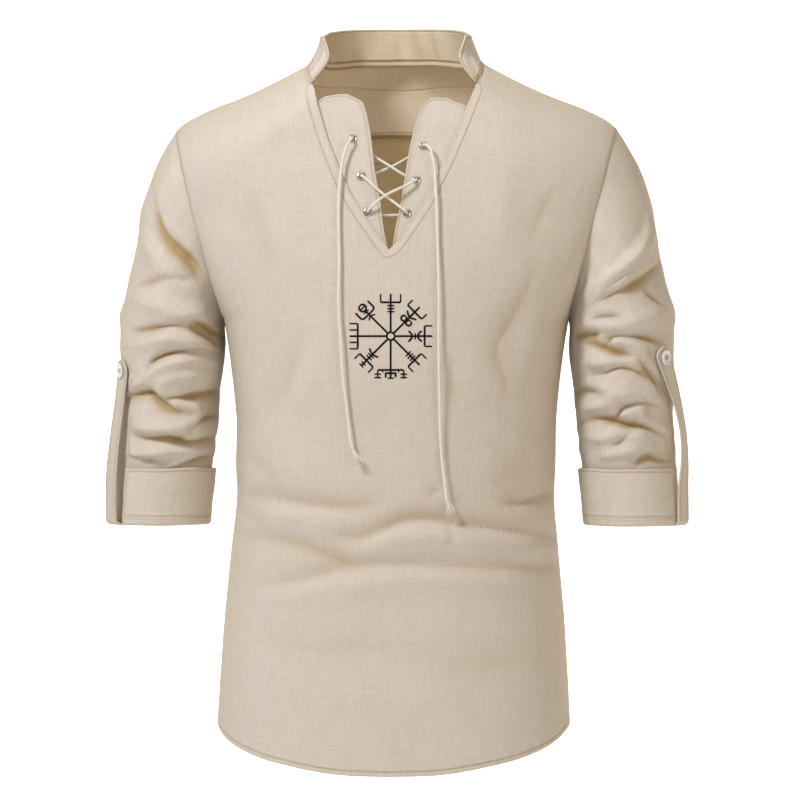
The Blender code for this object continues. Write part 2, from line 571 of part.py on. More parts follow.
def sleeve_form(share, angle):
    """A point of the smooth sleeve: share 0 at the armhole to 1 at the turned edge."""
    rows = along_table(share, SLEEVE_SECTIONS)
    middle = np.stack([(rows[..., 0] + rows[..., 2]) / 2, 0 * share, (rows[..., 1] + rows[..., 3]) / 2], -1)
    reach = np.stack([(rows[..., 0] - rows[..., 2]) / 2, 0 * share, (rows[..., 1] - rows[..., 3]) / 2], -1)
    ring = middle + reach * np.cos(angle)[..., None]
    ring[..., 1] -= rows[..., 4] * np.sin(angle)
    seam_ring = armhole_ring(angle)
    out = SLEEVE_START + (SLEEVE_START_LOW - SLEEVE_START) * (1 - np.cos(angle)) / 2
    seam_ring = seam_ring + out[..., None] * np.array(ARMHOLE_OUTWARD)
    drift = np.clip(share * (len(SLEEVE_SECTIONS) - 1) / 3.0, 0, 1)
    drift = (drift * drift * (3 - 2 * drift))[..., None]
    return seam_ring * (1 - drift) + ring * drift


def unrolled(share, angle):
    """Places for folds: outward along the cloth, and up; the front's middle keeps its place."""
    rows = along_table(share, SLEEVE_SECTIONS)
    half = (rows[..., 0] - rows[..., 2]) / 2
    around = (math.pi / 2 - angle) / (math.pi / 2)
    out = (rows[..., 0] + rows[..., 2]) / 2 + half * (math.pi / 2) * around
    up = (rows[..., 1] + rows[..., 3]) / 2 + (rows[..., 1] - rows[..., 3]) / 2 * np.cos(angle)
    return np.stack([out, up], axis=-1)


def sleeve_places(table, side):
    """Fold paths of one sleeve from the photograph, turned into places on the unrolled sleeve."""
    trial = np.linspace(0, 1, 301)
    rows = along_table(trial, SLEEVE_SECTIONS)
    turned = []
    for height, width, lean, path in table:
        depth = -45.0
        x = (column(path, 0) - PX_CENTRE) * PX_TO_MM * (1 + depth / EYE_DISTANCE) - EYE_TURN * depth
        z = (PX_SHOULDER_LEVEL - column(path, 1)) * PX_TO_MM
        z = (z - EYE_LEVEL) * (1 + depth / EYE_DISTANCE) + EYE_LEVEL
        places = []
        for out, up in zip(side * x, z):
            reach_x = rows[:, 0] - rows[:, 2]
            reach_z = rows[:, 1] - rows[:, 3]
            off = reach_x * (up - rows[:, 3]) - reach_z * (out - rows[:, 2])
            best = int(np.argmin(np.abs(off)))
            middle = (rows[best, 0] + rows[best, 2]) / 2
            across = np.clip((out - middle) / (reach_x[best] / 2), -1.0, 1.0)
            place = unrolled(np.array([trial[best]]), np.array([math.acos(across)]))[0]
            places.append((place[0], place[1]))
        turned.append((height, width, lean, tuple(places)))
    return turned


def sleeve_points(side, row_count=23, column_count=21):
    """The crumpled sleeve of one side, rows from the turned edge up to the armhole."""
    share, turn = np.meshgrid(np.linspace(1, 0, row_count), np.linspace(0, 1, column_count), indexing="ij")
    angle = 2 * math.pi * turn if side < 0 else -2 * math.pi * turn
    points = sleeve_form(share, angle)
    front_angle = np.mod(angle + math.pi / 2, 2 * math.pi) - math.pi / 2
    back_angle = np.mod(-angle + math.pi / 2, 2 * math.pi) - math.pi / 2
    own, other = SLEEVE_FOLDS_LEFT, SLEEVE_FOLDS_RIGHT
    if side < 0:
        own, other = other, own
    heights = fold_heights(unrolled(share, front_angle), sleeve_places(own, side), LEAST_SLEEVE_FOLD)
    heights += fold_heights(unrolled(share, back_angle), sleeve_places(other, -side), LEAST_SLEEVE_FOLD)
    row_in_table = share * (len(SLEEVE_SECTIONS) - 1)
    heights *= np.clip(row_in_table / 2.0, 0, 1) * np.clip((FOLDS_END_ROW - row_in_table) / 1.0, 0, 1)
    clear_of_body = np.clip((points[..., 0] - body_at(points[..., 2], 1) - 1.5) / 10.0, 0, 1)
    heights *= clear_of_body
    route = TAB_ROUTE_RIGHT if side < 0 else TAB_ROUTE_LEFT
    tab_angle = np.radians(smooth(-points[..., 2], -column(route, 1), column(route, 0)))
    off_tab = np.abs(front_angle - tab_angle) * SLEEVE_RADIUS
    beside = np.clip((off_tab - TAB_CLEARING * TAB_WIDTH) / TAB_CLEARING_FADE, 0, 1)
    beside = np.where(points[..., 2] < route[0][1] + TAB_WIDTH / 2, beside, 1.0)
    flattened = np.minimum(heights, UNDER_TAB)
    heights = flattened + (heights - flattened) * beside
    points[..., 0] *= side
    points = points + grid_normals(points, True) * heights[..., None]
    points[:, -1] = points[:, 0]
    return points


def cuff_points(side, row_count=7, column_count=23):
    """The turned-back cuff, rows from its folded lower edge up to its free edge."""
    start = math.radians(CUFF_SLIT_FRONT[side])
    end = math.radians(CUFF_SLIT_BACK) + 2 * math.pi
    share, angle = np.meshgrid(np.linspace(1, 0, row_count), np.linspace(start, end, column_count),
                               indexing="ij")
    rows = along_table(share, CUFF_SECTIONS)
    x = (rows[..., 0] + rows[..., 1]) / 2 + (rows[..., 0] - rows[..., 1]) / 2 * np.cos(angle)
    points = np.stack([side * x, -rows[..., 2] * np.sin(angle), rows[..., 3]], axis=-1)
    return points if side < 0 else points[:, ::-1]


def sleeve_place(angle, z):
    """The smooth sleeve's point and outward direction at an angle and a height."""
    trial = np.linspace(0, 1, 601)
    heights = sleeve_form(trial, np.full(601, angle))[:, 2]
    share = np.array([trial[int(np.argmin(np.abs(heights - z)))]])
    point = sleeve_form(share, np.array([angle]))[0]
    ahead = sleeve_form(share, np.array([angle + 0.02]))[0] - point
    ahead[2] = 0.0
    ahead /= np.linalg.norm(ahead)
    outward = np.array([-ahead[1], ahead[0], 0.0])
    if outward @ np.array([math.cos(angle), -math.sin(angle), 0.0]) < 0:
        outward = -outward
    return point, ahead, outward


def tab_frame(side, steps=15):
    """Middle line, width directions and outward directions of one roll tab."""
    route = TAB_ROUTE_RIGHT if side < 0 else TAB_ROUTE_LEFT
    middle, widthways = [], []
    for degrees, z, away in along_table(np.linspace(0, 1, steps), route):
        point, ahead, outward = sleeve_place(math.radians(degrees), z)
        middle.append(np.array([point[0], point[1], z]) + outward * away)
        widthways.append(ahead)
    inward = -outward
    last = middle[-1]
    for turn in (25, 50, 75, 90):
        a = math.radians(turn)
        middle.append(last + inward * TAB_FOLD_RADIUS * (1 - math.cos(a))
                      + np.array([0, 0, -TAB_FOLD_RADIUS * math.sin(a)]))
    for reach in (5.0, 11.0):
        middle.append(middle[-1] + inward * reach + np.array([0, 0, 0.15]))
    widthways += [widthways[-1]] * 6
    middle, widthways = np.array(middle), np.array(widthways)
    tangents = np.gradient(middle, axis=0)
    outwards = np.cross(tangents, widthways)
    outwards /= np.linalg.norm(outwards, axis=-1, keepdims=True)
    if outwards[0] @ np.array([1.0, 0, 0]) < 0:
        outwards = -outwards
    for array in (middle, widthways, outwards):
        array[:, 0] *= side
    return middle, widthways, outwards


def tab_points(side):
    middle, widthways, _ = tab_frame(side)
    run = np.concatenate([[0], np.cumsum(np.linalg.norm(np.diff(middle, axis=0), axis=-1))])
    radius = TAB_WIDTH / 2
    round_end = np.sqrt(np.clip(radius**2 - np.clip(radius - run, 0, radius) ** 2, 0, None))
    half = np.where(run < radius, np.maximum(round_end, 4.0), radius)
    across = np.linspace(-1, 1, 5)
    return middle[:, None] + widthways[:, None] * (half[:, None] * across)[..., None]


def button_place(side):
    middle, _, outwards = tab_frame(side)
    run = np.concatenate([[0], np.cumsum(np.linalg.norm(np.diff(middle, axis=0), axis=-1))])
    place = np.array([np.interp(BUTTON_FROM_END, run, middle[:, k]) for k in range(3)])
    outward = np.array([np.interp(BUTTON_FROM_END, run, outwards[:, k]) for k in range(3)])
    outward /= np.linalg.norm(outward)
    return place + outward * (BAND / 2 + SEAM_GAP), outward


def route_points(route, spacing):
    """Even points along a smooth curve through a lace's route, by its real length."""
    fine = along_table(np.linspace(0, 1, 600), route)
    places, _ = chest_point(fine[:, 0], fine[:, 1], fine[:, 2])
    run = np.concatenate([[0], np.cumsum(np.linalg.norm(np.diff(places, axis=0), axis=-1))])
    count = int(round(run[-1] / spacing)) + 1
    at = np.concatenate([[0.0, LACE * 0.6], np.linspace(0, run[-1], count)[1:-1],
                         [run[-1] - LACE * 0.6, run[-1]]])
    return np.stack([np.interp(at, run, places[:, k]) for k in range(3)], axis=-1)


def grid_mesh(name, points, closed=False):
    """A Blender grid of the same rows and columns, bent onto the points."""
    rows, columns = points.shape[:2]
    mesh = bpy.data.meshes.new(name)
    bm = bmesh.new()
    bmesh.ops.create_grid(bm, x_segments=columns - 1, y_segments=rows - 1, size=0.5)
    for vert in bm.verts:
        row = round((vert.co.y + 0.5) * (rows - 1))
        col = round((vert.co.x + 0.5) * (columns - 1))
        vert.co = Vector(points[row, col]) * MM
    if closed:
        bmesh.ops.remove_doubles(bm, verts=bm.verts, dist=1e-5)
    bm.to_mesh(mesh)
    bm.free()
    mesh.shade_smooth()
    return mesh


def material(name, colour, roughness, metallic=0.0):
    made = bpy.data.materials.new(name)
    made.use_nodes = True
    shader = made.node_tree.nodes["Principled BSDF"]
    shader.inputs["Base Color"].default_value = colour
    shader.inputs["Roughness"].default_value = roughness
    shader.inputs["Metallic"].default_value = metallic
    return made


def place(name, data, finish, collection):
    data.materials.append(finish)
    made = bpy.data.objects.new(name, data)
    collection.objects.link(made)
    return made


def cloth_wall(name, points, thickness, finish, collection, closed=False):
    """One panel of cloth: an open surface with a wall of even thickness."""
    made = place(name, grid_mesh(name, points, closed), finish, collection)
    wall = made.modifiers.new("wall", "SOLIDIFY")
    wall.thickness = thickness * MM
    wall.offset = 0.0
    wall.use_even_offset = True
    return made


def frame_along(point, outward):
    """A placing whose Z runs outward from the cloth."""
    turn = Vector(outward).to_track_quat("Z", "Y").to_matrix().to_4x4()
    return Matrix.Translation(Vector(point) * MM) @ turn


def turned(name, profile, steps, finish, collection):
    """A turned piece: a closed profile of radius and height, in millimetres, with a Screw modifier."""
    mesh = bpy.data.meshes.new(name)
    bm = bmesh.new()
    verts = [bm.verts.new((radius * MM, 0.0, height * MM)) for radius, height in profile]
    for k, vert in enumerate(verts):
        if k + 1 < len(verts):
            bm.edges.new((vert, verts[k + 1]))
        elif profile[0][0] > 0:
            bm.edges.new((vert, verts[0]))
    bm.to_mesh(mesh)
    bm.free()
    made = place(name, mesh, finish, collection)
    screw = made.modifiers.new("turn", "SCREW")
    screw.steps = steps
    screw.render_steps = steps
    screw.use_merge_vertices = True
    screw.merge_threshold = 0.00001
    screw.use_smooth_shade = True
    return made


def cutter(name, radius, depth, sides, placing, collection):
    mesh = bpy.data.meshes.new(name)
    bm = bmesh.new()
    bmesh.ops.create_cone(bm, cap_ends=True, segments=sides, radius1=radius * MM, radius2=radius * MM,
                          depth=depth * MM)
    bm.to_mesh(mesh)
    bm.free()
    made = bpy.data.objects.new(name, mesh)
    made.matrix_world = placing
    made.hide_render = True
    made.display_type = "WIRE"
    collection.objects.link(made)
    return made


def cut(target, tool):
    boolean = target.modifiers.new(tool.name, "BOOLEAN")
    boolean.object = tool
    boolean.operation = "DIFFERENCE"
    boolean.solver = "EXACT"


def eyelet_panel(side, name, finish, collection, cutters):
    panel = cloth_wall(name, panel_points(side), CLOTH, finish, collection)
    for number, (px, py) in enumerate(EYELETS_RIGHT_PX if side < 0 else EYELETS_LEFT_PX, start=1):
        point, normal = chest_point(np.array([px]), np.array([py]), np.array([-PANEL_BEHIND]))
        placing = frame_along(point[0], normal[0])
        tool = cutter(f"{name}_hole_{number}", EYELET_HOLE, CUTTER_DEPTH, 12, placing, cutters)
        cut(panel, tool)


def eyelet(name, px, py, finish, collection):
    """Metal eyelet: a barrel through the panel's hole and a rounded flange on its face."""
    face = CLOTH / 2 + SEAM_GAP
    profile = ((EYELET_BORE, face - 0.2), (EYELET_BORE + 0.5, face + EYELET_PROUD * 0.84),
               (EYELET_BORE + 1.2, face + EYELET_PROUD),
               (EYELET_OUTER - 0.3, face + EYELET_PROUD * 0.42), (EYELET_OUTER, face), (EYELET_BARREL, face),
               (EYELET_BARREL, -CLOTH / 2 - EYELET_BACK), (EYELET_BORE, -CLOTH / 2 - EYELET_BACK))
    made = turned(name, profile, 10, finish, collection)
    point, normal = chest_point(np.array([px]), np.array([py]), np.array([-PANEL_BEHIND]))
    made.matrix_world = frame_along(point[0], normal[0])


def button(side, name, finish, collection, cutters):
    """A four-hole shirt button with a raised rim, standing on the roll tab."""
    radius, thick = BUTTON_RADIUS, BUTTON_THICK
    profile = ((0.0, BUTTON_DISH), (radius * 0.62, BUTTON_DISH), (radius * 0.74, thick), (radius * 0.9, thick),
               (radius, thick * 0.55), (radius * 0.86, 0.0), (0.0, 0.0))
    made = turned(name, profile, 16, finish, collection)
    point, outward = button_place(side)
    made.matrix_world = frame_along(point, outward)
    for number, (x, y) in enumerate(((1, 1), (-1, 1), (-1, -1), (1, -1)), start=1):
        hole = Matrix.Translation(Vector((x * BUTTON_HOLE_OFF, y * BUTTON_HOLE_OFF, 0.0)) * MM)
        cut(made, cutter(f"{name}_hole_{number}", BUTTON_HOLE, CUTTER_DEPTH, 6, made.matrix_world @ hole,
                         cutters))


def lace(name, route, finish, collection, spacing):
    curve = bpy.data.curves.new(name, "CURVE")
    curve.dimensions = "3D"
    curve.bevel_depth = LACE / 2 * MM
    curve.bevel_resolution = 2
    curve.use_fill_caps = True
    points = route_points(route, spacing)
    spline = curve.splines.new("POLY")
    spline.points.add(len(points) - 1)
    for knot, point in zip(spline.points, points):
        knot.co = (*(Vector(point) * MM), 1.0)
    place(name, curve, finish, collection)


def tassel(name, route, tip_px, finish, collection):
    """Frayed lace end: a short head whose lower face runs out into separate three-sided strands."""
    end = route_points(route, 8.0)[-1]
    before = route_points(route, 2.0)[-2]
    run = Vector(end - before).normalized()
    tip, _ = chest_point(np.array([tip_px[0]]), np.array([tip_px[1]]), np.array([TASSEL_TIP_OFF]))
    start = Vector(end) + run * SEAM_GAP
    fall = Vector(tip[0]) - start
    length = fall.length
    down = fall.normalized()
    mesh = bpy.data.meshes.new(name)
    bm = bmesh.new()
    head = bmesh.ops.create_cone(bm, cap_ends=True, cap_tris=True, segments=TASSEL_STRANDS,
                                 radius1=TASSEL_HEAD / 2 * MM, radius2=TASSEL_HEAD / 2 * 0.9 * MM,
                                 depth=TASSEL_HEAD_LONG * MM)
    bmesh.ops.rotate(bm, verts=head["verts"], matrix=(-down).to_track_quat("Z", "X").to_matrix())
    bmesh.ops.translate(bm, verts=head["verts"], vec=(start + down * (TASSEL_HEAD_LONG / 2 + 0.1)) * MM)
    bm.normal_update()
    strands = [face for face in bm.faces if face.normal.dot(down) > 0.9]
    middle = sum((face.calc_center_median() for face in strands), Vector()) / len(strands)
    bmesh.ops.inset_individual(bm, faces=strands, thickness=0.0001, use_even_offset=True)
    flat = Vector((1, 0, 0)) - down * down.x
    flat.normalize()
    thick = down.cross(flat)
    for number, face in enumerate(strands):
        away = face.calc_center_median() - middle
        wide = away.dot(flat) / (TASSEL_HEAD / 2 * MM)
        deep = away.dot(thick) / (TASSEL_HEAD / 2 * MM)
        reach = (length - TASSEL_HEAD_LONG - 0.2) * (0.86 + 0.14 * math.sin(number * 2.4))
        sway = flat * wide * TASSEL_SPREAD * 1.5 + thick * deep * 0.3
        for step, narrow in ((0.35, 0.95), (0.4, 0.9), (0.25, 0.6)):
            result = bmesh.ops.extrude_discrete_faces(bm, faces=[face])
            face = result["faces"][0]
            bmesh.ops.translate(bm, verts=face.verts, vec=(down + sway) * reach * step * MM)
            centre = face.calc_center_median()
            for vert in face.verts:
                vert.co = centre + (vert.co - centre) * narrow
    bm.to_mesh(mesh)
    bm.free()
    place(name, mesh, finish, collection)


def build():
    for old in list(bpy.data.objects):
        bpy.data.objects.remove(old, do_unlink=True)
    shirt = bpy.data.collections.new("linen_shirt")
    cutters = bpy.data.collections.new("cutters")
    bpy.context.scene.collection.children.link(shirt)
    bpy.context.scene.collection.children.link(cutters)
    linen = material("linen", LINEN, 0.85)
    cord = material("cotton_lace", LACE_WHITE, 0.8)
    pearl = material("button_resin", PEARL, 0.3)
    metal = material("eyelet_metal", METAL, 0.3, 1.0)

    cloth_wall("front", front_points(), CLOTH, linen, shirt)
    cloth_wall("back", back_points(), CLOTH, linen, shirt)
    cloth_wall("yoke", yoke_points(), CLOTH, linen, shirt)
    cloth_wall("collar", collar_points(), BAND, linen, shirt)
    for side, word in ((-1, "right"), (1, "left")):
        eyelet_panel(side, f"placket_{word}", linen, shirt, cutters)
        cloth_wall(f"sleeve_{word}", sleeve_points(side), CLOTH, linen, shirt, closed=True)
        cloth_wall(f"cuff_{word}", cuff_points(side), BAND, linen, shirt)
        cloth_wall(f"tab_{word}", tab_points(side), BAND, linen, shirt)
        button(side, f"button_{word}", pearl, shirt, cutters)
        for number, (px, py) in enumerate(EYELETS_RIGHT_PX if side < 0 else EYELETS_LEFT_PX, start=1):
            eyelet(f"eyelet_{word}_{number}", px, py, metal, shirt)
    lace("lace_crossing", CROSSING_ROUTE, cord, shirt, 5.0)
    lace("lace_end_right", END_RIGHT_ROUTE, cord, shirt, 8.0)
    lace("lace_end_left", END_LEFT_ROUTE, cord, shirt, 8.0)
    tassel("tassel_right", END_RIGHT_ROUTE, TASSEL_RIGHT_TIP_PX, cord, shirt)
    tassel("tassel_left", END_LEFT_ROUTE, TASSEL_LEFT_TIP_PX, cord, shirt)


build()
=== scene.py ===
# %% [markdown]
# # A worn linen pullover shirt
# A summer shirt hangs on a body that isn't there: a crumpled, rolled sleeve on each side, a
# laced slit below a band collar, and a curved hem. The cloth hardly changes thickness, so every
# panel is one bent sheet with a thin wall. The sheets are grids of points that come from a few
# tables of sizes, because a grid keeps its rows along the threads of the cloth, and that makes
# folds, hems and weave easy to place. Sizes are in millimetres until a mesh is made.

# %% Load the fixed frame
import math
import random

import bpy
import numpy as np
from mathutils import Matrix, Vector, noise
from mathutils.bvhtree import BVHTree


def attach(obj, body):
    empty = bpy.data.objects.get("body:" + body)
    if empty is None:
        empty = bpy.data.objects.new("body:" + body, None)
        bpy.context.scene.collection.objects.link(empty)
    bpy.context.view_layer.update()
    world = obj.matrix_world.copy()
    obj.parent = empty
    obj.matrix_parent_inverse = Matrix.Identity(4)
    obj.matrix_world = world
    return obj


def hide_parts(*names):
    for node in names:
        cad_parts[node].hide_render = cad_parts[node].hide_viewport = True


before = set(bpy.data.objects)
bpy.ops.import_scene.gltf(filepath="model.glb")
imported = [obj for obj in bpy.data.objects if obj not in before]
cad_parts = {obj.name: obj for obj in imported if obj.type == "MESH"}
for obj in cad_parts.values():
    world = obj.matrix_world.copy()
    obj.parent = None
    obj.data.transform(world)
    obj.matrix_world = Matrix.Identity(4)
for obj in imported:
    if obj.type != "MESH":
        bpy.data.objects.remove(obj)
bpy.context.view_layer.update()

MM = 0.001
SIDES = ((-1, "right"), (1, "left"))      # the wearer's right is at -X

# %% [markdown]
# ## Where the eye stands
# The photograph was taken level with the chest, a little from the wearer's left. A long lens
# keeps the sides of the shirt nearly parallel, as studios like it for clothes. The camera comes
# before the shirt, because the places of folds and lace are read from the photograph.

# %% Camera
PX_TO_MM = 1.03
PX_CENTRE = 396.5
PX_SHOULDER_LEVEL = 72.0
EYE_DISTANCE = 3400.0
EYE_LEVEL = -338.0
EYE_TURN = 0.047
PICTURE_WIDTH = 800 * PX_TO_MM
SENSOR = 36.0

camera_data = bpy.data.cameras.new("studio_camera")
camera_data.sensor_width = SENSOR
camera_data.lens = SENSOR * EYE_DISTANCE / PICTURE_WIDTH
camera = bpy.data.objects.new("studio_camera", camera_data)
bpy.context.scene.collection.objects.link(camera)
aim = Vector(((400 - PX_CENTRE) * PX_TO_MM, 0.0, EYE_LEVEL)) * MM
back_off = Vector((math.sin(EYE_TURN), -math.cos(EYE_TURN), 0.0)) * EYE_DISTANCE * MM
camera.location = aim + back_off
camera.rotation_euler = (-back_off).to_track_quat("-Z", "Y").to_euler()
bpy.context.scene.camera = camera
print("lens", round(camera_data.lens, 1), "mm")

# %% [markdown]
# ## The form of the body
# A garment pattern starts from measures of the body, and so does this one: a table of sections
# from the shoulders to the hem, the line of the shoulders, and the way in which the cloth rolls
# over them. A smooth curve is read through each column, so few rows are enough.

# %% Tables of the body
BODY_SECTIONS = (
    (60, 257.0, 60, 74, 0.0),
    (-20, 237.0, 79, 98, 0.0),
    (-64, 225.6, 91, 112, 0.0),
    (-110, 213.8, 104, 121, 0.0),
    (-160, 201.0, 115, 125, 0.0),
    (-210, 188.3, 123, 125, 0.0),
    (-254, 177.0, 127, 122, 0.0),
    (-272, 173.8, 128, 120, 0.0),
    (-301, 169.6, 128, 117, 0.0),
    (-330, 166.3, 127, 113, 0.0),
    (-358, 164.0, 125, 108, 0.0),
    (-400, 163.8, 124, 104, -0.5),
    (-445, 163.0, 124, 104, -1.0),
    (-474, 166.0, 126, 107, -1.5),
    (-517, 170.0, 128, 111, -1.8),
    (-560, 174.0, 130, 115, -2.0),
    (-604, 177.0, 132, 119, -2.3),
    (-647, 179.5, 134, 122, -2.5),
    (-700, 181.0, 136, 124, -2.5),
    (-760, 182.0, 137, 125, -2.5),
)
ARMPIT_Z = -254.0
ARMHOLE_MID_Z = -159.0
ARMHOLE_DEPTH = 65.0
CROWN_AT_SHOULDER = 1.25
CROWN_LOW = 2.35
RIDGE = ((0, 45), (50, 30), (80, 12), (88, 8), (95, 4), (110, -4), (126, -12), (144, -20.6),
         (164, -29), (185, -37), (203, -45), (219, -54), (230, -64), (260, -95))
ROLL_AT_NECK = 55.0
ROLL_AT_TIP = 95.0
NECK_HALF_WIDTH = 88.0
TIP_HALF_WIDTH = 226.5
SEAM_GAP = 0.3
HALF_SEAM = SEAM_GAP / 2


def smooth(at, knots, values):
    """Reads a table column between its rows, on a curve through them."""
    knots = np.asarray(knots, float)
    values = np.asarray(values, float)
    slopes = np.gradient(values, knots)
    at = np.clip(np.asarray(at, float), knots[0], knots[-1])
    low = np.clip(np.searchsorted(knots, at, side="right") - 1, 0, len(knots) - 2)
    span = knots[low + 1] - knots[low]
    f = (at - knots[low]) / span
    start = (2 * f**3 - 3 * f**2 + 1) * values[low] + (f**3 - 2 * f**2 + f) * span * slopes[low]
    end = (3 * f**2 - 2 * f**3) * values[low + 1] + (f**3 - f**2) * span * slopes[low + 1]
    return start + end


def column(table, number):
    return np.array([row[number] for row in table], float)


def along_table(share, table):
    """Points on a smooth curve through a table's rows, for shares 0 to 1 of its rows."""
    knots = np.linspace(0.0, 1.0, len(table))
    return np.stack([smooth(share, knots, column(table, k)) for k in range(len(table[0]))], axis=-1)


def body_at(z, number):
    return smooth(-np.asarray(z, float), -column(BODY_SECTIONS, 0), column(BODY_SECTIONS, number))


print("half width at the armpits", round(float(body_at(ARMPIT_Z, 1))), "mm")

# %% Points on the body
def ridge_height(x):
    return smooth(np.abs(x), column(RIDGE, 0), column(RIDGE, 1))


def roll_radius(x):
    share = np.clip((np.abs(x) - NECK_HALF_WIDTH) / (TIP_HALF_WIDTH - NECK_HALF_WIDTH), 0.0, 1.0)
    return ROLL_AT_NECK + (ROLL_AT_TIP - ROLL_AT_NECK) * share


def height_over(x, over):
    """Height of the cloth at a distance measured over the shoulder from its top line."""
    radius = roll_radius(x)
    angle = np.minimum(over / radius, math.pi / 2)
    below = np.maximum(over - radius * math.pi / 2, 0.0)
    return ridge_height(x) - radius * (1 - np.cos(angle)) - below


def over_height(x, z):
    """The inverse: the distance over the shoulder at a height."""
    radius = roll_radius(x)
    drop = np.maximum(ridge_height(x) - z, 0.0)
    rolled = radius * np.arccos(np.clip(1 - drop / radius, 0.0, 1.0))
    return rolled + np.maximum(drop - radius, 0.0)


def body_depth(x, z, over, back):
    """Distance of the cloth from the shoulder line's plane, to the chest or to the back."""
    middle = body_at(z, 3 if back else 2)
    low = np.clip((ARMHOLE_MID_Z - z) / (ARMHOLE_MID_Z - ARMPIT_Z), 0.0, 1.0)
    side = ARMHOLE_DEPTH * np.sqrt(1 - low**2)
    across = np.clip(np.abs(x - body_at(z, 4)) / body_at(z, 1), 0.0, 1.0)
    bend = CROWN_AT_SHOULDER + (CROWN_LOW - CROWN_AT_SHOULDER) * low
    crown = (1 - across**CROWN_LOW) ** (1 / bend)
    rolled = np.sin(np.minimum(over / roll_radius(x), math.pi / 2))
    return (side + (middle - side) * crown) * rolled


def body_point(x, over, back):
    z = height_over(x, over)
    depth = body_depth(x, z, over, back)
    return np.stack([x, depth if back else -depth, z], axis=-1)


def body_point_at(x, z):
    return body_point(x, over_height(x, z), back=False)


def solve_point(share, over, back):
    """A body point by its share of the half width and its distance over the shoulder."""
    z = np.full(np.shape(share), -300.0)
    for _ in range(8):
        x = share * body_at(z, 1) + body_at(z, 4)
        z = height_over(x, over)
    return body_point(x, over, back)


def signed_point(share, over):
    """The same, with distances behind the shoulder line positive and in front negative."""
    front = solve_point(share, np.maximum(-over, 0.0), back=False)
    back = solve_point(share, np.maximum(over, 0.0), back=True)
    return np.where((over > 0)[..., None], back, front)


print("middle of the chest", body_point_at(np.array(0.0), np.array(-254.0)).round(1))

# %% Places read from the photograph
def from_photo(px, py):
    """The place on the chest side that the photograph shows at a pixel."""
    x = (np.asarray(px, float) - PX_CENTRE) * PX_TO_MM
    z = (PX_SHOULDER_LEVEL - np.asarray(py, float)) * PX_TO_MM
    y = np.full(np.shape(x), -100.0)
    for _ in range(4):
        true_x = x * (1 + y / EYE_DISTANCE) - EYE_TURN * y
        true_z = (z - EYE_LEVEL) * (1 + y / EYE_DISTANCE) + EYE_LEVEL
        y = body_point_at(true_x, true_z)[..., 1]
    return true_x, true_z


def chest_normal(x, z):
    step = 2.0
    here = body_point_at(x, z)
    normal = np.cross(body_point_at(x + step, z) - here, body_point_at(x, z + step) - here)
    return here, normal / np.linalg.norm(normal, axis=-1, keepdims=True)


def chest_point(px, py, outside):
    """A point in front of the smooth chest, by its distance from it."""
    here, normal = chest_normal(*from_photo(px, py))
    return here + normal * np.asarray(outside, float)[..., None], normal


print("slit ends at", np.round(from_photo(390.0, 250.0), 1))

# %% [markdown]
# ## The lace
# One round cotton lace closes the slit. It leaves the top eyelet on each side and hangs on the
# chest with a frayed end, and between them it crosses twice in front and once behind. The two
# hanging ends are free cords, so their real length is stated. A lace could be a curve with a
# bevel, but its twist only shows when the surface itself winds round, so each one is a tube of
# rings whose radius swells three times round, a little further on with every ring.

# %% The lace's routes, in photograph pixels and millimetres off the chest
LACE = 2.8
LACE_TWIST = 9.0          # one full turn of a strand
LACE_STRANDS = 3
END_RIGHT_ROUTE = ((352.7, 138, -1.6), (352.6, 138.1, 0.8), (352.2, 139.2, 3.2), (350.6, 142.2, 5.4),
                   (346.5, 150, 5.4), (342.5, 165, 5.0), (340.5, 185, 5.0), (339.3, 206, 4.8),
                   (339.4, 230, 4.4), (340, 257, 4.2), (339.7, 281, 4.2), (339.5, 305, 4.4),
                   (341.7, 338, 5.0), (343.2, 361, 5.6), (345, 384, 5.8), (347, 400, 5.4),
                   (349.2, 419, 5.4), (351.5, 438, 6.0), (354, 450, 6.4))
END_LEFT_ROUTE = ((423.3, 145.4, -1.6), (423.4, 145.4, 0.8), (424.4, 145.9, 3.2), (427.4, 147.6, 5.4),
                  (431.6, 153.5, 5.4), (434.6, 170, 5.0), (436, 192, 5.0), (437, 212, 4.8),
                  (437.6, 236, 4.4), (438.4, 264, 4.2), (439, 292, 4.4), (438.5, 338, 5.0),
                  (438.7, 372, 5.4), (439.3, 407, 5.6), (439.7, 429, 5.4), (441, 453, 5.0),
                  (443.5, 476.5, 5.2), (445, 491, 5.8), (446, 500, 6.2))
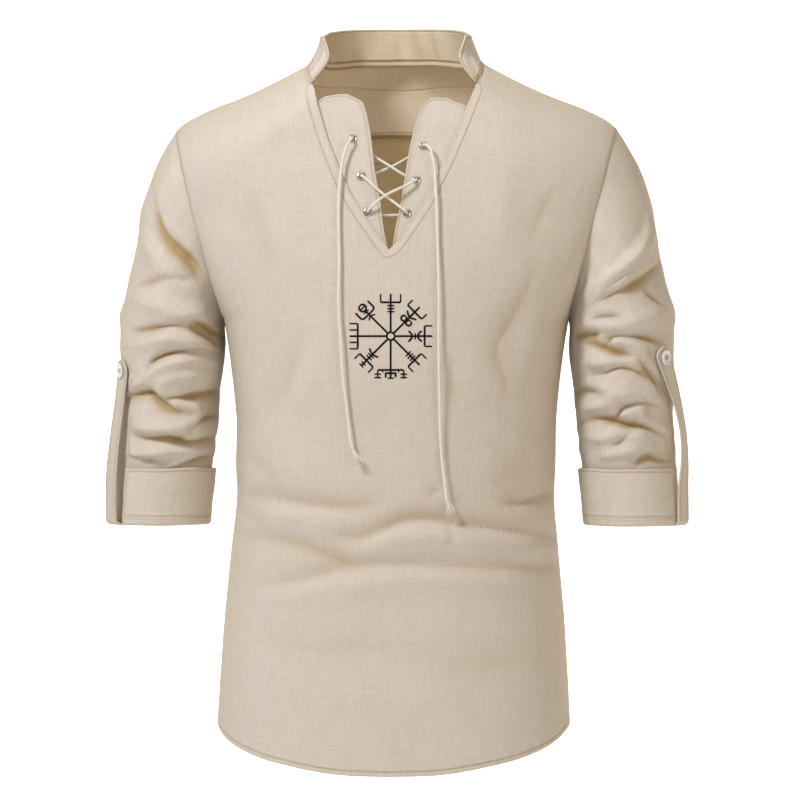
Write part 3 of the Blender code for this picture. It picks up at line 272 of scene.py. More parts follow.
CROSSING_ROUTE = ((352.7, 138, -2.4), (352.8, 138.1, -5.0), (356, 141, -7.6), (364, 147, -8.4),
                  (376, 155, -8.6), (389, 163, -8.6), (402, 171.5, -8.2), (412.5, 177.4, -7.2),
                  (416.4, 179.7, -5.0), (416.6, 179.8, -2.0), (416.5, 180, 0.8), (413.8, 182.4, 3.2),
                  (406, 187, 4.8), (397, 191.6, 6.4), (387.5, 196.4, 6.8), (378, 202.4, 5.8),
                  (371, 208.4, 3.6), (368.2, 211.2, 1.0), (368, 211.4, -2.0), (368.2, 211.5, -5.0),
                  (372, 212.2, -7.2), (379, 213.0, -7.6), (388, 213.4, -7.6), (397, 213.4, -7.6),
                  (403.6, 213.1, -7.2), (407, 213, -5.0), (407.2, 213, -2.0), (406.8, 212.7, 0.8),
                  (403.4, 210.2, 2.8), (396, 204.4, 2.9), (387.5, 198, 2.7), (378, 190.4, 2.8),
                  (367.5, 181, 3.2), (362.4, 176.6, 2.8), (361.4, 175.7, 0.8), (361.3, 175.6, -2.0),
                  (361.5, 175.5, -5.2), (365.5, 173.6, -8.6), (376, 169.2, -11.8), (390, 163, -12.6),
                  (402, 157.2, -11.8), (415, 150.4, -9.0), (421.6, 146.6, -7.4), (423.2, 145.5, -5.0),
                  (423.3, 145.4, -2.4))


def run_along(points):
    """Distance of each point of a line from its start, along the line."""
    return np.concatenate([[0], np.cumsum(np.linalg.norm(np.diff(points, axis=0), axis=-1))])


def read_at(at, run, values):
    return np.stack([np.interp(at, run, values[:, k]) for k in range(3)], axis=-1)


def route_points(route, spacing):
    """Even points along a smooth curve through a lace's route, by its real length."""
    fine = along_table(np.linspace(0, 1, 900), route)
    places, _ = chest_point(fine[:, 0], fine[:, 1], fine[:, 2])
    run = run_along(places)
    return read_at(np.linspace(0, run[-1], int(round(run[-1] / spacing)) + 1), run, places)


def line_length(points):
    return float(np.linalg.norm(np.diff(points, axis=0), axis=-1).sum())


for word, route in (("right end", END_RIGHT_ROUTE), ("left end", END_LEFT_ROUTE),
                    ("crossing", CROSSING_ROUTE)):
    print("lace,", word, round(line_length(route_points(route, 1.0)), 1), "mm")

# %% A tube of rings along a line
def frames_along(points):
    """Two directions across a line at each of its points, without sudden turns."""
    tangents = np.gradient(points, axis=0)
    tangents /= np.linalg.norm(tangents, axis=-1, keepdims=True)
    first = np.cross(tangents[0], (0.0, 1.0, 0.0))
    if np.linalg.norm(first) < 0.1:
        first = np.cross(tangents[0], (1.0, 0.0, 0.0))
    sides = [first / np.linalg.norm(first)]
    for tangent in tangents[1:]:
        side = sides[-1] - tangent * (sides[-1] @ tangent)
        sides.append(side / np.linalg.norm(side))
    sides = np.array(sides)
    return tangents, sides, np.cross(tangents, sides)


def quads(rows, columns, start=0, round_about=False):
    """Faces of a grid whose points are listed row by row."""
    faces = []
    wide = columns if round_about else columns - 1
    for r in range(rows - 1):
        for c in range(wide):
            d = (c + 1) % columns
            faces.append((start + r * columns + c, start + r * columns + d,
                          start + (r + 1) * columns + d, start + (r + 1) * columns + c))
    return faces


def tube_faces(rings, around, start=0):
    """Faces of a tube of rings with both ends closed."""
    last = start + (rings - 1) * around
    ends = [tuple(range(start, start + around))[::-1], tuple(range(last, last + around))]
    return quads(rings, around, start, round_about=True) + ends


def make_mesh(name, points, faces):
    """A mesh object from points in millimetres."""
    mesh = bpy.data.meshes.new(name)
    mesh.from_pydata((np.asarray(points).reshape(-1, 3) * MM).tolist(), [], faces)
    mesh.validate()
    mesh.shade_smooth()
    made = bpy.data.objects.new(name, mesh)
    bpy.context.scene.collection.objects.link(made)
    return made


def lace_tube(name, route, around=12, spacing=1.1):
    middle = route_points(route, spacing)
    _, side, other = frames_along(middle)
    run = np.arange(len(middle)) * spacing
    angle = np.linspace(0, 2 * math.pi, around, endpoint=False)
    swell = 1 + 0.09 * np.cos(LACE_STRANDS * (angle[None] - 2 * math.pi * run[:, None] / LACE_TWIST))
    radius = LACE / 2 * 0.95 * swell
    rings = middle[:, None] + radius[..., None] * (side[:, None] * np.cos(angle)[None, :, None]
                                                   + other[:, None] * np.sin(angle)[None, :, None])
    return make_mesh(name, rings, tube_faces(len(middle), around)), middle


lace_crossing, _ = lace_tube("lace_between_eyelets", CROSSING_ROUTE)
lace_right, right_middle = lace_tube("lace_hanging_right", END_RIGHT_ROUTE)
lace_left, left_middle = lace_tube("lace_hanging_left", END_LEFT_ROUTE)
print("lace rings", len(right_middle), len(left_middle))

# %% [markdown]
# ## The frayed ends
# The lace isn't knotted: its last centimetre has come undone into single threads that fan out.
# Threads are easiest as many thin tubes that start inside the lace and drift apart, each on its
# own slightly wavy path. A fixed seed keeps them the same in every run.

# %% Frayed threads
FRAY_THREADS = 30
FRAY_RADIUS = 0.34
FRAY_RIGHT_TIP = (361.5, 465.5)
FRAY_LEFT_TIP = (450.5, 514.0)
FRAY_OFF = 7.5


def fray(name, middle, tip_px, seed):
    chance = random.Random(seed)
    start = middle[-1]
    tip, _ = chest_point(np.array([tip_px[0]]), np.array([tip_px[1]]), np.array([FRAY_OFF]))
    fall = tip[0] - start
    length = np.linalg.norm(fall)
    down = fall / length
    flat = np.array([1.0, 0.0, 0.0]) - down * down[0]
    flat /= np.linalg.norm(flat)
    thick = np.cross(down, flat)
    points, faces = [], []
    for number in range(FRAY_THREADS):
        turn = chance.uniform(0, 2 * math.pi)
        out = LACE / 2 * 0.8 * math.sqrt(chance.random())
        wide, deep = out * math.cos(turn), out * math.sin(turn)
        reach = length * chance.uniform(0.72, 1.08)
        wave, phase = chance.uniform(0.2, 0.7), chance.uniform(0, 6)
        path = []
        for f in np.linspace(-0.12, 1, 8):
            fan = max(f, 0.0) ** 1.2
            bend = wave * math.sin(phase + 5 * f) * max(f, 0)
            path.append(start + down * reach * f + flat * (wide * (1 + 3.8 * fan) + bend)
                        + thick * deep * (1 + 0.9 * fan))
        path = np.array(path)
        _, side, other = frames_along(path)
        begin = len(points)
        for k, point in enumerate(path):
            radius = FRAY_RADIUS * (1 - 0.5 * k / len(path))
            for corner in range(3):
                a = 2 * math.pi * corner / 3
                points.append(point + radius * (side[k] * math.cos(a) + other[k] * math.sin(a)))
        faces += tube_faces(len(path), 3, begin)
    return make_mesh(name, np.array(points), faces)


fray_right = fray("frayed_end_right", right_middle, FRAY_RIGHT_TIP, 3)
fray_left = fray("frayed_end_left", left_middle, FRAY_LEFT_TIP, 7)
print("frayed threads", 2 * FRAY_THREADS)
for piece, node in ((fray_right, "tassel_right"), (fray_left, "tassel_left"), (lace_right, "lace_end_right"),
                    (lace_left, "lace_end_left"), (lace_crossing, "lace_crossing")):
    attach(piece, "root")
    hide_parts(node)

# %% [markdown]
# ## Linen
# Linen is a plain weave of flax thread. Flax is uneven: every few centimetres a thread swells
# into a slub, so the cloth shows fine lines both ways rather than an even grid. Each panel has
# a UV map that counts real metres along its threads, and the weave is drawn from that. It could
# be drawn from object coordinates too, but then the threads wouldn't follow the folds.

# %% A helper that wires shader nodes
class Graph:
    """Adds nodes to a tree and links them in the order in which they are used."""

    def __init__(self, tree):
        self.tree = tree

    def add(self, kind, inputs=(), out=0, **settings):
        node = self.tree.nodes.new(kind)
        for key, value in settings.items():
            setattr(node, key, value)
        for key, value in dict(inputs).items():
            if isinstance(value, bpy.types.NodeSocket):
                self.link(value, node.inputs[key])
            else:
                node.inputs[key].default_value = value
        return node.outputs[out]

    def link(self, value, socket):
        self.tree.links.new(value, socket)

    def math(self, operation, first, second=0.0, third=0.0):
        return self.add("ShaderNodeMath", {0: first, 1: second, 2: third}, operation=operation)

    def mix(self, factor, first, second):
        return self.add("ShaderNodeMix", {0: factor, 6: first, 7: second}, out=2, data_type="RGBA")

    def remap(self, value, low, high, to_low=0.0, to_high=1.0):
        return self.add("ShaderNodeMapRange", {0: value, 1: low, 2: high, 3: to_low, 4: to_high})


def node_group(name, inputs, outputs):
    """An empty shader group with named sockets."""
    group = bpy.data.node_groups.new(name, "ShaderNodeTree")
    for label, kind, default in inputs:
        socket = group.interface.new_socket(label, in_out="INPUT", socket_type=kind)
        if default is not None:
            socket.default_value = default
    for label, kind in outputs:
        group.interface.new_socket(label, in_out="OUTPUT", socket_type=kind)
    start = group.nodes.new("NodeGroupInput")
    end = group.nodes.new("NodeGroupOutput")
    return group, Graph(group), start.outputs, end.inputs


print("graph helper ready")

# %% Shader group: the weave
weave_group, g, given, wanted = node_group(
    "linen_weave",
    (("Cloth Place", "NodeSocketVector", None), ("Threads per Metre", "NodeSocketFloat", 1400.0),
     ("Slub Amount", "NodeSocketFloat", 1.0)),
    (("Height", "NodeSocketFloat"), ("Tone", "NodeSocketFloat")))
across, along, _ = g.add("ShaderNodeSeparateXYZ", {0: given["Cloth Place"]}).node.outputs
wander = g.add("ShaderNodeTexNoise", {"Vector": given["Cloth Place"], "Scale": 60.0, "Detail": 2.0})
drift = g.math("MULTIPLY", g.math("SUBTRACT", wander, 0.5), 0.0014)


def threads(value):
    """Rounded threads side by side, a little out of line."""
    moved = g.math("ADD", value, drift)
    turns = g.math("MULTIPLY", moved, g.math("MULTIPLY", given["Threads per Metre"], math.pi))
    return g.math("ABSOLUTE", g.math("SINE", turns))


def streaks(value, stretch_x, stretch_y):
    """Noise drawn out along one thread direction."""
    long_way = g.add("ShaderNodeCombineXYZ", {0: g.math("MULTIPLY", across, stretch_x),
                                              1: g.math("MULTIPLY", along, stretch_y), 2: value})
    return g.add("ShaderNodeTexNoise", {"Vector": long_way, "Scale": 1.0, "Detail": 3.0, "Roughness": 0.6})


warp = threads(across)
weft = threads(along)
plain = g.math("MULTIPLY", g.math("ADD", warp, weft), 0.5)
slub_warp = g.remap(streaks(0.0, 900.0, 60.0), 0.34, 0.66)
slub_weft = g.remap(streaks(7.0, 60.0, 860.0), 0.34, 0.66)
thick_warp = g.remap(streaks(3.0, 430.0, 24.0), 0.36, 0.64)
thick_weft = g.remap(streaks(5.0, 27.0, 410.0), 0.36, 0.64)
fine_slubs = g.math("MULTIPLY", g.math("ADD", slub_warp, slub_weft), 0.55)
slubs = g.math("MULTIPLY_ADD", g.math("ADD", thick_warp, thick_weft), 0.45, fine_slubs)
slubs = g.math("MULTIPLY", slubs, given["Slub Amount"])
g.link(g.math("ADD", g.math("MULTIPLY", plain, 0.35), g.math("MULTIPLY", slubs, 0.65)), wanted["Height"])
g.link(g.math("MULTIPLY", slubs, 0.5), wanted["Tone"])
print("weave sockets", [s.name for s in weave_group.interface.items_tree])

# %% Shader group: washed colour and small creases
washed_group, g, given, wanted = node_group(
    "washed_cloth",
    (("Cloth Place", "NodeSocketVector", None), ("Crease Scale", "NodeSocketFloat", 55.0)),
    (("Patches", "NodeSocketFloat"), ("Creases", "NodeSocketFloat")))
patches = g.add("ShaderNodeTexNoise", {"Vector": given["Cloth Place"], "Scale": 9.0, "Detail": 3.0})
rough = g.add("ShaderNodeTexNoise", {"Vector": given["Cloth Place"], "Scale": given["Crease Scale"],
                                     "Detail": 4.0, "Distortion": 0.6})
fold_line = g.math("ABSOLUTE", g.math("SUBTRACT", rough, 0.5))
g.link(patches, wanted["Patches"])
g.link(g.remap(fold_line, 0.0, 0.22), wanted["Creases"])
print("washed sockets", len(washed_group.interface.items_tree))

# %% Shader group: a sewn edge
sewn_group, g, given, wanted = node_group(
    "sewn_edge",
    (("Inset", "NodeSocketFloat", 1.0), ("Stitch Width", "NodeSocketFloat", 0.0011),
     ("Roll Width", "NodeSocketFloat", 0.004)),
    (("Height", "NodeSocketFloat"), ("Thread Mask", "NodeSocketFloat")))
off_line = g.math("DIVIDE", given["Inset"], given["Stitch Width"])
sunk = g.math("EXPONENT", g.math("MULTIPLY", g.math("MULTIPLY", off_line, off_line), -1.0))
inside_roll = g.math("DIVIDE", given["Inset"], given["Roll Width"])
roll = g.math("EXPONENT", g.math("MULTIPLY", g.math("MULTIPLY", inside_roll, inside_roll), -1.0))
outer = g.math("LESS_THAN", given["Inset"], 0.0)
raised = g.math("ADD", g.math("MULTIPLY", outer, 0.5), g.math("MULTIPLY", roll, 0.35))
g.link(g.math("SUBTRACT", raised, sunk), wanted["Height"])
g.link(sunk, wanted["Thread Mask"])
print("sewn edge ready")

# %% The linen materials
LINEN_LIGHT = (0.69, 0.652, 0.62, 1.0)
LINEN_SLUB = (0.565, 0.505, 0.43, 1.0)
# brown of the painted shade in folds and at edges turned away from the eye, and of the darker line along sewn
# seams
PAINTED_SHADE_AND_SEAM_BROWN = (0.42, 0.29, 0.11, 1.0)
# Copies of the linen for inner sides: the brighter one is painted light in the hollow of the shirt, the
# warmer, darker ones are painted shade on the back's inside and the collar's inside.
PAINTED_LIGHT_INSIDE = (0.92, 0.83, 0.70, 1.0)
PAINTED_LIGHT_INSIDE_SLUB = (0.80, 0.70, 0.54, 1.0)
PAINTED_SHADE_BACK_INSIDE = (0.74, 0.62, 0.40, 1.0)
PAINTED_SHADE_BACK_INSIDE_SLUB = (0.62, 0.50, 0.30, 1.0)
PAINTED_SHADE_COLLAR_INSIDE = (0.70, 0.625, 0.51, 1.0)
PAINTED_SHADE_COLLAR_INSIDE_SLUB = (0.58, 0.49, 0.365, 1.0)
EDGE_SHADE_OUTSIDE = 0.42       # painted shade: how far the cloth is coloured brown where it turns away from the eye
EDGE_SHADE_INSIDE = 0.1         # less painted shade on the inside of the neck
WEAVE_DEPTH = 0.00022


def new_material(name):
    made = bpy.data.materials.new(name)
    made.use_nodes = True
    shader = made.node_tree.nodes["Principled BSDF"]
    return made, Graph(made.node_tree), shader


def linen(name, light, slub, away=EDGE_SHADE_OUTSIDE):
    made, g, shader = new_material(name)
    place = g.add("ShaderNodeUVMap", uv_map="threads")
    weave, washed, sewn = [g.add("ShaderNodeGroup", node_tree=group).node
                           for group in (weave_group, washed_group, sewn_group)]
    g.link(place, weave.inputs["Cloth Place"])
    g.link(place, washed.inputs["Cloth Place"])
    inset = g.add("ShaderNodeAttribute", attribute_name="inset", out=2)
    g.link(inset, sewn.inputs["Inset"])
    painted_fold_shade = g.add("ShaderNodeAttribute", attribute_name="painted_fold_shade", out=2)
    colour = g.mix(weave.outputs["Tone"], slub, light)
    colour = g.mix(g.remap(washed.outputs["Patches"], 0.35, 0.75, 0.0, 0.14), colour, slub)
    # painted shade: the bottoms of folds are coloured warm brown
    colour = g.mix(g.math("MULTIPLY", painted_fold_shade, 0.8), colour, PAINTED_SHADE_AND_SEAM_BROWN)
    colour = g.mix(g.math("MULTIPLY", sewn.outputs["Thread Mask"], 0.25), colour, PAINTED_SHADE_AND_SEAM_BROWN)
    # painted shade: the cloth is coloured browner where it turns away from the eye
    painted_edge_shade = g.add("ShaderNodeLayerWeight", {"Blend": 0.5}, out=1)
    colour = g.mix(g.remap(painted_edge_shade, 0.3, 1.0, 0.0, away), colour, PAINTED_SHADE_AND_SEAM_BROWN)
    g.link(colour, shader.inputs["Base Color"])
    rough = g.remap(weave.outputs["Height"], 0.0, 1.0, 0.86, 0.68)
    g.link(rough, shader.inputs["Roughness"])
    creased = g.add("ShaderNodeBump", {"Strength": 0.14, "Distance": 0.0011,
                                       "Height": washed.outputs["Creases"]})
    seamed = g.add("ShaderNodeBump", {"Strength": 0.8, "Distance": 0.0007,
                                      "Height": sewn.outputs["Height"], "Normal": creased})
    woven = g.add("ShaderNodeBump", {"Strength": 0.9, "Distance": WEAVE_DEPTH,
                                     "Height": weave.outputs["Height"], "Normal": seamed})
    g.link(woven, shader.inputs["Normal"])
    shader.inputs["Sheen Weight"].default_value = 0.12
    shader.inputs["Sheen Roughness"].default_value = 0.4
    shader.inputs["Specular IOR Level"].default_value = 0.3
    return made


linen_outside = linen("linen_outside", LINEN_LIGHT, LINEN_SLUB)
# the same linen with painted light, and two copies with painted shade, for the inner sides
linen_inside_painted_light = linen("linen_inside_painted_light", PAINTED_LIGHT_INSIDE, PAINTED_LIGHT_INSIDE_SLUB, EDGE_SHADE_INSIDE)
back_inside_painted_shade = linen("back_inside_painted_shade", PAINTED_SHADE_BACK_INSIDE, PAINTED_SHADE_BACK_INSIDE_SLUB, EDGE_SHADE_INSIDE)
collar_inside_painted_shade = linen("collar_inside_painted_shade", PAINTED_SHADE_COLLAR_INSIDE, PAINTED_SHADE_COLLAR_INSIDE_SLUB)
print("linen materials", linen_outside.name, linen_inside_painted_light.name, back_inside_painted_shade.name)

# %% [markdown]
# ## Thread, lace, metal and resin
# The small materials each have one thing that gives them away: sewing thread and lace show the
# twist of their yarn, nickel shows the room, and a resin button has a soft clouded depth under
# a polished face. Their noise is read from object coordinates, since none of them has a weave.

# %% Materials of the small pieces
def clouded(name, pattern, low, first, second, roughness):
    """A finish whose colour and roughness follow one noise in object coordinates."""
    made, g, shader = new_material(name)
    noise = g.add("ShaderNodeTexNoise", {"Vector": g.add("ShaderNodeTexCoord", out=3), **pattern})
    g.link(g.mix(g.remap(noise, low, 0.7), first, second), shader.inputs["Base Color"])
    g.link(g.remap(noise, 0.3, 0.7, *roughness), shader.inputs["Roughness"])
    return made, g, shader, noise


def yarn(name, light, dark, twist_scale, depth, sheen=0.3):
    """A twisted yarn: fine fibres and a little colour change."""
    made, g, shader, fibres = clouded(name, {"Scale": twist_scale, "Detail": 3.0, "Roughness": 0.65}, 0.3,
                                      dark, light, (0.92, 0.72))
    bump = g.add("ShaderNodeBump", {"Strength": 0.6, "Distance": depth, "Height": fibres})
    g.link(bump, shader.inputs["Normal"])
    shader.inputs["Sheen Weight"].default_value = sheen
    return made


lace_cotton = yarn("lace_cotton", (0.86, 0.84, 0.80, 1.0), (0.70, 0.66, 0.59, 1.0), 1400.0, 0.0002)
fray_cotton = yarn("fray_cotton", (0.95, 0.94, 0.90, 1.0), (0.84, 0.81, 0.75, 1.0), 900.0, 0.00003)
seam_thread = yarn("seam_thread", (0.50, 0.37, 0.20, 1.0), (0.36, 0.25, 0.11, 1.0), 2500.0, 0.0001)
pale_thread = yarn("pale_thread", (0.60, 0.49, 0.33, 1.0), (0.48, 0.37, 0.22, 1.0), 2500.0, 0.0001)
black_thread = yarn("black_embroidery_thread", (0.010, 0.010, 0.010, 1.0), (0.003, 0.003, 0.004, 1.0), 1900.0,
                    0.00012, sheen=0.0)
black_thread.node_tree.nodes["Principled BSDF"].inputs["Specular IOR Level"].default_value = 0.12
tape_cotton = yarn("neck_tape_cotton", (0.66, 0.58, 0.46, 1.0), (0.54, 0.46, 0.34, 1.0), 900.0, 0.0002)
eyelet_nickel, _, shader, _ = clouded("eyelet_nickel", {"Scale": 900.0, "Detail": 2.0}, 0.35,
                                      (0.50, 0.50, 0.51, 1.0), (0.66, 0.66, 0.67, 1.0), (0.18, 0.34))
shader.inputs["Metallic"].default_value = 1.0
button_resin, _, shader, _ = clouded("button_resin", {"Scale": 160.0, "Detail": 3.0, "Distortion": 1.5}, 0.35,
                                     (0.86, 0.86, 0.87, 1.0), (0.70, 0.73, 0.80, 1.0), (0.16, 0.3))
shader.inputs["Coat Weight"].default_value = 0.4
for piece, finish in ((lace_right, lace_cotton), (lace_left, lace_cotton), (lace_crossing, lace_cotton),
                      (fray_right, fray_cotton), (fray_left, fray_cotton)):
    piece.data.materials.append(finish)
print("materials", len(bpy.data.materials))

# %% [markdown]
# ## From a grid of points to a sheet of cloth
# Each sheet keeps three things with its points: how far it is along and across the threads, for
# the weave; how deep it lies in its folds, for a warm brown painted shade that stands in for the
# light going from fold to fold; and how far it is from its nearest sewn line, which is zero on the
# line. A wall comes from Solidify, and its inner side gets a copy of the linen in other colours:
# painted light on most sheets, painted shade on the back and inside the collar.

# %% Cloth helpers
CLOTH = 1.0
BAND = 2.0                # collar, cuffs and tabs are two layers
NO_STITCH = 30.0          # so far from a sewn line that its groove doesn't show
SECOND_ROW = 30.0         # yoke and back have a second row this far from their upper edges
rest_sheets = {}


def grid_normals(points, closed=False):
    """Outward normals of a grid whose rows run up and whose columns run to +X at the front."""
    if closed:
        ring = points[:, :-1]
        across = np.roll(ring, -1, axis=1) - np.roll(ring, 1, axis=1)
        across = np.concatenate([across, across[:, :1]], axis=1)
    else:
        across = np.gradient(points, axis=1)
    up = np.gradient(points, axis=0)
    normals = np.cross(across, up)
    return normals / np.maximum(np.linalg.norm(normals, axis=-1, keepdims=True), 1e-9)


def distance_to(points, line):
    """Distance of each point from a line through several places."""
    flat = points.reshape(-1, points.shape[-1])
    best = np.full(len(flat), 1e9)
    for start, end in zip(line[:-1], line[1:]):
        run = end - start
        f = np.clip((flat - start) @ run / max(run @ run, 1e-9), 0.0, 1.0)
        best = np.minimum(best, np.linalg.norm(flat - start - f[:, None] * run, axis=-1))
    return best.reshape(points.shape[:-1])


def off_seams(points, *seams):
    """Distance of each point from the nearest sewn line; a seam is an edge and its margin."""
    return np.min([distance_to(points, line) - margin for line, margin in seams], axis=0)


def thread_places(points):
    """Real distance across and up the sheet, in metres, from its middle column and lowest row."""
    across = np.linalg.norm(np.diff(points, axis=1), axis=-1)
    run = np.concatenate([np.zeros((points.shape[0], 1)), np.cumsum(across, axis=1)], axis=1)
    run -= run[:, points.shape[1] // 2][:, None]
    up = np.linalg.norm(np.diff(points, axis=0), axis=-1)
    rise = np.concatenate([np.zeros((1, points.shape[1])), np.cumsum(up, axis=0)], axis=0)
    rise = rise[:, points.shape[1] // 2][:, None] + 0 * rise
    return np.stack([run, rise], axis=-1) * MM


def keep_value(mesh, name, values):
    layer = mesh.attributes.new(name, "FLOAT", "POINT")
    layer.data.foreach_set("value", np.ascontiguousarray(values.reshape(-1), dtype=np.float32))


def straight_threads(points):
    """Thread places of a body panel: round the body and straight up, in metres from its middle."""
    half = body_at(points[..., 2], 1) + 3.0
    turn = np.arcsin(np.clip(points[..., 0] / half, -1, 1))
    return np.stack([turn * 200.0, points[..., 2] - 0.4 * np.abs(points[..., 1])], axis=-1) * MM


def cloth_sheet(name, points, painted_fold_shade, inset, thickness, node, closed=False, flip=False, holes=(),
                inside=linen_inside_painted_light, straight=False):
    """One panel: a grid of points with its wall, its finish and the CAD node that it stands for."""
    rows, columns = points.shape[:2]
    used = points[:, :-1] if closed else points
    places = straight_threads(points) if straight else thread_places(points)
    middles = (points[:-1, :-1] + points[1:, 1:]) / 2
    kept = np.ones(middles.shape[:2], bool)
    for centre, radius in holes:
        kept &= np.linalg.norm(middles - centre, axis=-1) > radius
    faces, corners = [], []
    for number, face in enumerate(quads(rows, used.shape[1], round_about=closed)):
        r, c = divmod(number, columns - 1)
        if kept[r, c]:
            around = [places[r, c], places[r, c + 1], places[r + 1, c + 1], places[r + 1, c]]
            faces.append(face[::-1] if flip else face)
            corners += around[::-1] if flip else around
    made = make_mesh(name, used, faces)
    mesh = made.data
    keep_value(mesh, "painted_fold_shade", painted_fold_shade[:, :-1] if closed else painted_fold_shade)
    keep_value(mesh, "inset", (inset[:, :-1] if closed else inset) * MM)
    layer = mesh.uv_layers.new(name="threads")
    layer.data.foreach_set("uv", np.array(corners, dtype=np.float32).reshape(-1))
    mesh.materials.append(linen_outside)
    mesh.materials.append(inside)
    wall = made.modifiers.new("wall", "SOLIDIFY")
    wall.thickness = thickness * MM
    wall.offset = 0.0
    wall.use_even_offset = True
    wall.material_offset = 1
    wall.material_offset_rim = 0
    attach(made, "root")
    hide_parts(node)
    rest_sheets[name] = BVHTree.FromPolygons([Vector(p) for p in used.reshape(-1, 3)], faces)
    print(name, rows, "x", columns, "points, about", 4 * (rows - 1) * (columns - 1), "triangles")
    return made


# %% Folds and crumple
SHARP_FOLD = 1.2          # how sharp a trough's bottom is, 2 being round
ROUND_FOLD = 1.7


def fold_heights(places, folds, least=2.4, samples=24):
    """Height of the cloth over its smooth form, from a table of ridges and troughs."""
    flat = places.reshape(-1, 2)
    total = np.zeros(len(flat))
    for height, width, lean, path in folds:
        line = along_table(np.linspace(0, 1, samples), path)
        best = np.full(len(flat), 1e9)
        signed = np.zeros(len(flat))
        share = np.zeros(len(flat))
        for k in range(samples - 1):
            run = line[k + 1] - line[k]
            reach = flat - line[k]
            f = np.clip(reach @ run / max(run @ run, 1e-9), 0.0, 1.0)
            away = reach - f[:, None] * run
            distance = np.hypot(away[:, 0], away[:, 1])
            nearer = distance < best
            side = np.sign(run[0] * reach[:, 1] - run[1] * reach[:, 0])
            signed = np.where(nearer, side * distance, signed)
            share = np.where(nearer, (k + f) / (samples - 1), share)
            best = np.minimum(best, distance)
        width = max(width, least)
        spread = np.where(signed > 0, width * (1 + lean), width * (1 - lean))
        fade = np.sqrt(np.clip(np.sin(math.pi * np.clip(share, 0.02, 0.98)), 0.0, 1.0))
        roundness = SHARP_FOLD if height < 0 else ROUND_FOLD
        total += height * fade * np.exp(-np.abs(signed / spread) ** roundness)
    return total.reshape(places.shape[:-1])


def bolder(rows, taller, wider, narrower, leaning):
    """The same folds with taller relief, wider ridges and narrower, more one-sided creases."""
    return [(height * taller, width * (wider if height > 0 else narrower), min(lean * leaning, 0.65), path)
            for height, width, lean, path in rows]


def settle(points, level, reach=75.0, passes=140):
    """Smooths a body panel's depth up and down about a level, away from its side edges."""
    start = points[..., 1].copy()
    depth = start.copy()
    for _ in range(passes):
        depth[1:-1] = (depth[:-2] + 2 * depth[1:-1] + depth[2:]) / 4
    near = np.exp(-((points[..., 2] - level) / reach) ** 2)
    edge = 1 - np.linspace(-1, 1, points.shape[1]) ** 8
    points[..., 1] = start + (depth - start) * near * edge
    return points


def photo_places(rows):
    """Fold paths from the photograph, as places across and up on the chest side."""
    turned = []
    for height, width, lean, path in rows:
        x, z = from_photo(column(path, 0), column(path, 1))
        turned.append((height, width, lean, tuple(zip(x, z))))
    return turned


def crumple(places, size, seed, sharp=0.5):
    """Soft uneven rumples, from -1 to 1, with some creased lines among them."""
    flat = places.reshape(-1, 2) / size
    out = np.empty(len(flat))
    for k, (a, b) in enumerate(flat):
        soft = noise.noise((a, b, seed)) + 0.5 * noise.noise((2.1 * a, 2.1 * b, seed + 5.0))
        creased = 0.45 - 2.2 * abs(noise.noise((0.8 * a, 0.8 * b, seed + 9.0)))
        out[k] = (1 - sharp) * soft + sharp * creased
    return out.reshape(places.shape[:-1])


def trough_shade(heights, full=5.0):
    """Painted shade: 0 on level cloth to 1 at the bottom of a deep fold."""
    return np.clip(-heights / full, 0, 1)


print("cloth helpers ready")

# %% [markdown]
# ## Front, back and yoke
# The front and the back are cut with a curved hem and meet at the side seams. The yoke lies
# over both shoulders, and its front seam falls a little forward of the shoulder line. Columns of
# the grid run from the hem up to the panel's upper edge, so each one can end on the shoulder,
# the neck or the slit, and the rows close up near the hem and near the upper edge.

# %% Edges of the front
YOKE_FORWARD = 16.0
YOKE_BACK_Z = -57.0
YOKE_SEAM_DROP = 27.0
ARMHOLE_X_AT_YOKE = 217.7
SHOULDER_STATIONS = (226.3, 205, 180, 155, 130, 108)
NECK_EDGE_OUT = 1.5
CORNER_OUT = 0.8          # how much further out the corner of neck and shoulder lies
NECK_SEAM = ((0, 60), (30, 52), (55, 42), (75, 25), (86, 0), (87, -27), (85.5, -45), (81, -59))
V_EDGE_RIGHT_PX = ((314.5, 89), (317, 102), (324, 126), (331, 147), (344.5, 180), (359, 207), (389, 250))
V_EDGE_LEFT_PX = ((474.5, 89), (468, 105), (457, 132), (445, 160), (433, 184), (420, 208), (391, 250))
HEM_FRONT = ((0.0, -711), (0.3, -709), (0.55, -702), (0.75, -694), (0.88, -685), (0.96, -676), (1.0, -669))
HEM_BACK = ((0.0, -718), (0.3, -716), (0.55, -709), (0.75, -699), (0.88, -688), (0.96, -677), (1.0, -669))
FINE = 6                  # stations for each one in the tables
SHOULDER_RUN, NECK_RUN, SLIT_RUN = 6 * FINE, 3 * FINE, 6 * FINE


def edge_stations(parts):
    """Stations along an edge made of several smooth parts that meet at corners."""
    stations = []
    for part in parts:
        run = along_table(np.linspace(0, 1, (len(part) - 1) * FINE + 1), part)
        stations += list(run[1:] if stations else run)
    return np.array(stations)


def mirrored_parts(half):
    other = [tuple((-x, over) for x, over in part[::-1]) for part in half[::-1]]
    return list(half) + other


def front_top_edge():
    """Shoulder seam, neck seam and slit edge of one side, and the same on the other side."""
    parts = []
    for side, v_edge in ((-1, V_EDGE_RIGHT_PX), (1, V_EDGE_LEFT_PX)):
        v_x, v_z = from_photo(column(v_edge, 0), column(v_edge, 1))
        corner = (side * (NECK_SEAM[5][0] + NECK_EDGE_OUT + CORNER_OUT), YOKE_FORWARD + HALF_SEAM)
        shoulder = [(side * x, YOKE_FORWARD + HALF_SEAM) for x in SHOULDER_STATIONS] + [corner]
        neck = [corner] + [(side * (x + NECK_EDGE_OUT), -over) for x, over in NECK_SEAM[5:7]]
        slit = list(zip(v_x, over_height(v_x, v_z)))
        parts.append((shoulder, neck + [slit[0]], slit))
    right, left = parts
    return edge_stations(list(right) + [part[::-1] for part in left[::-1]])


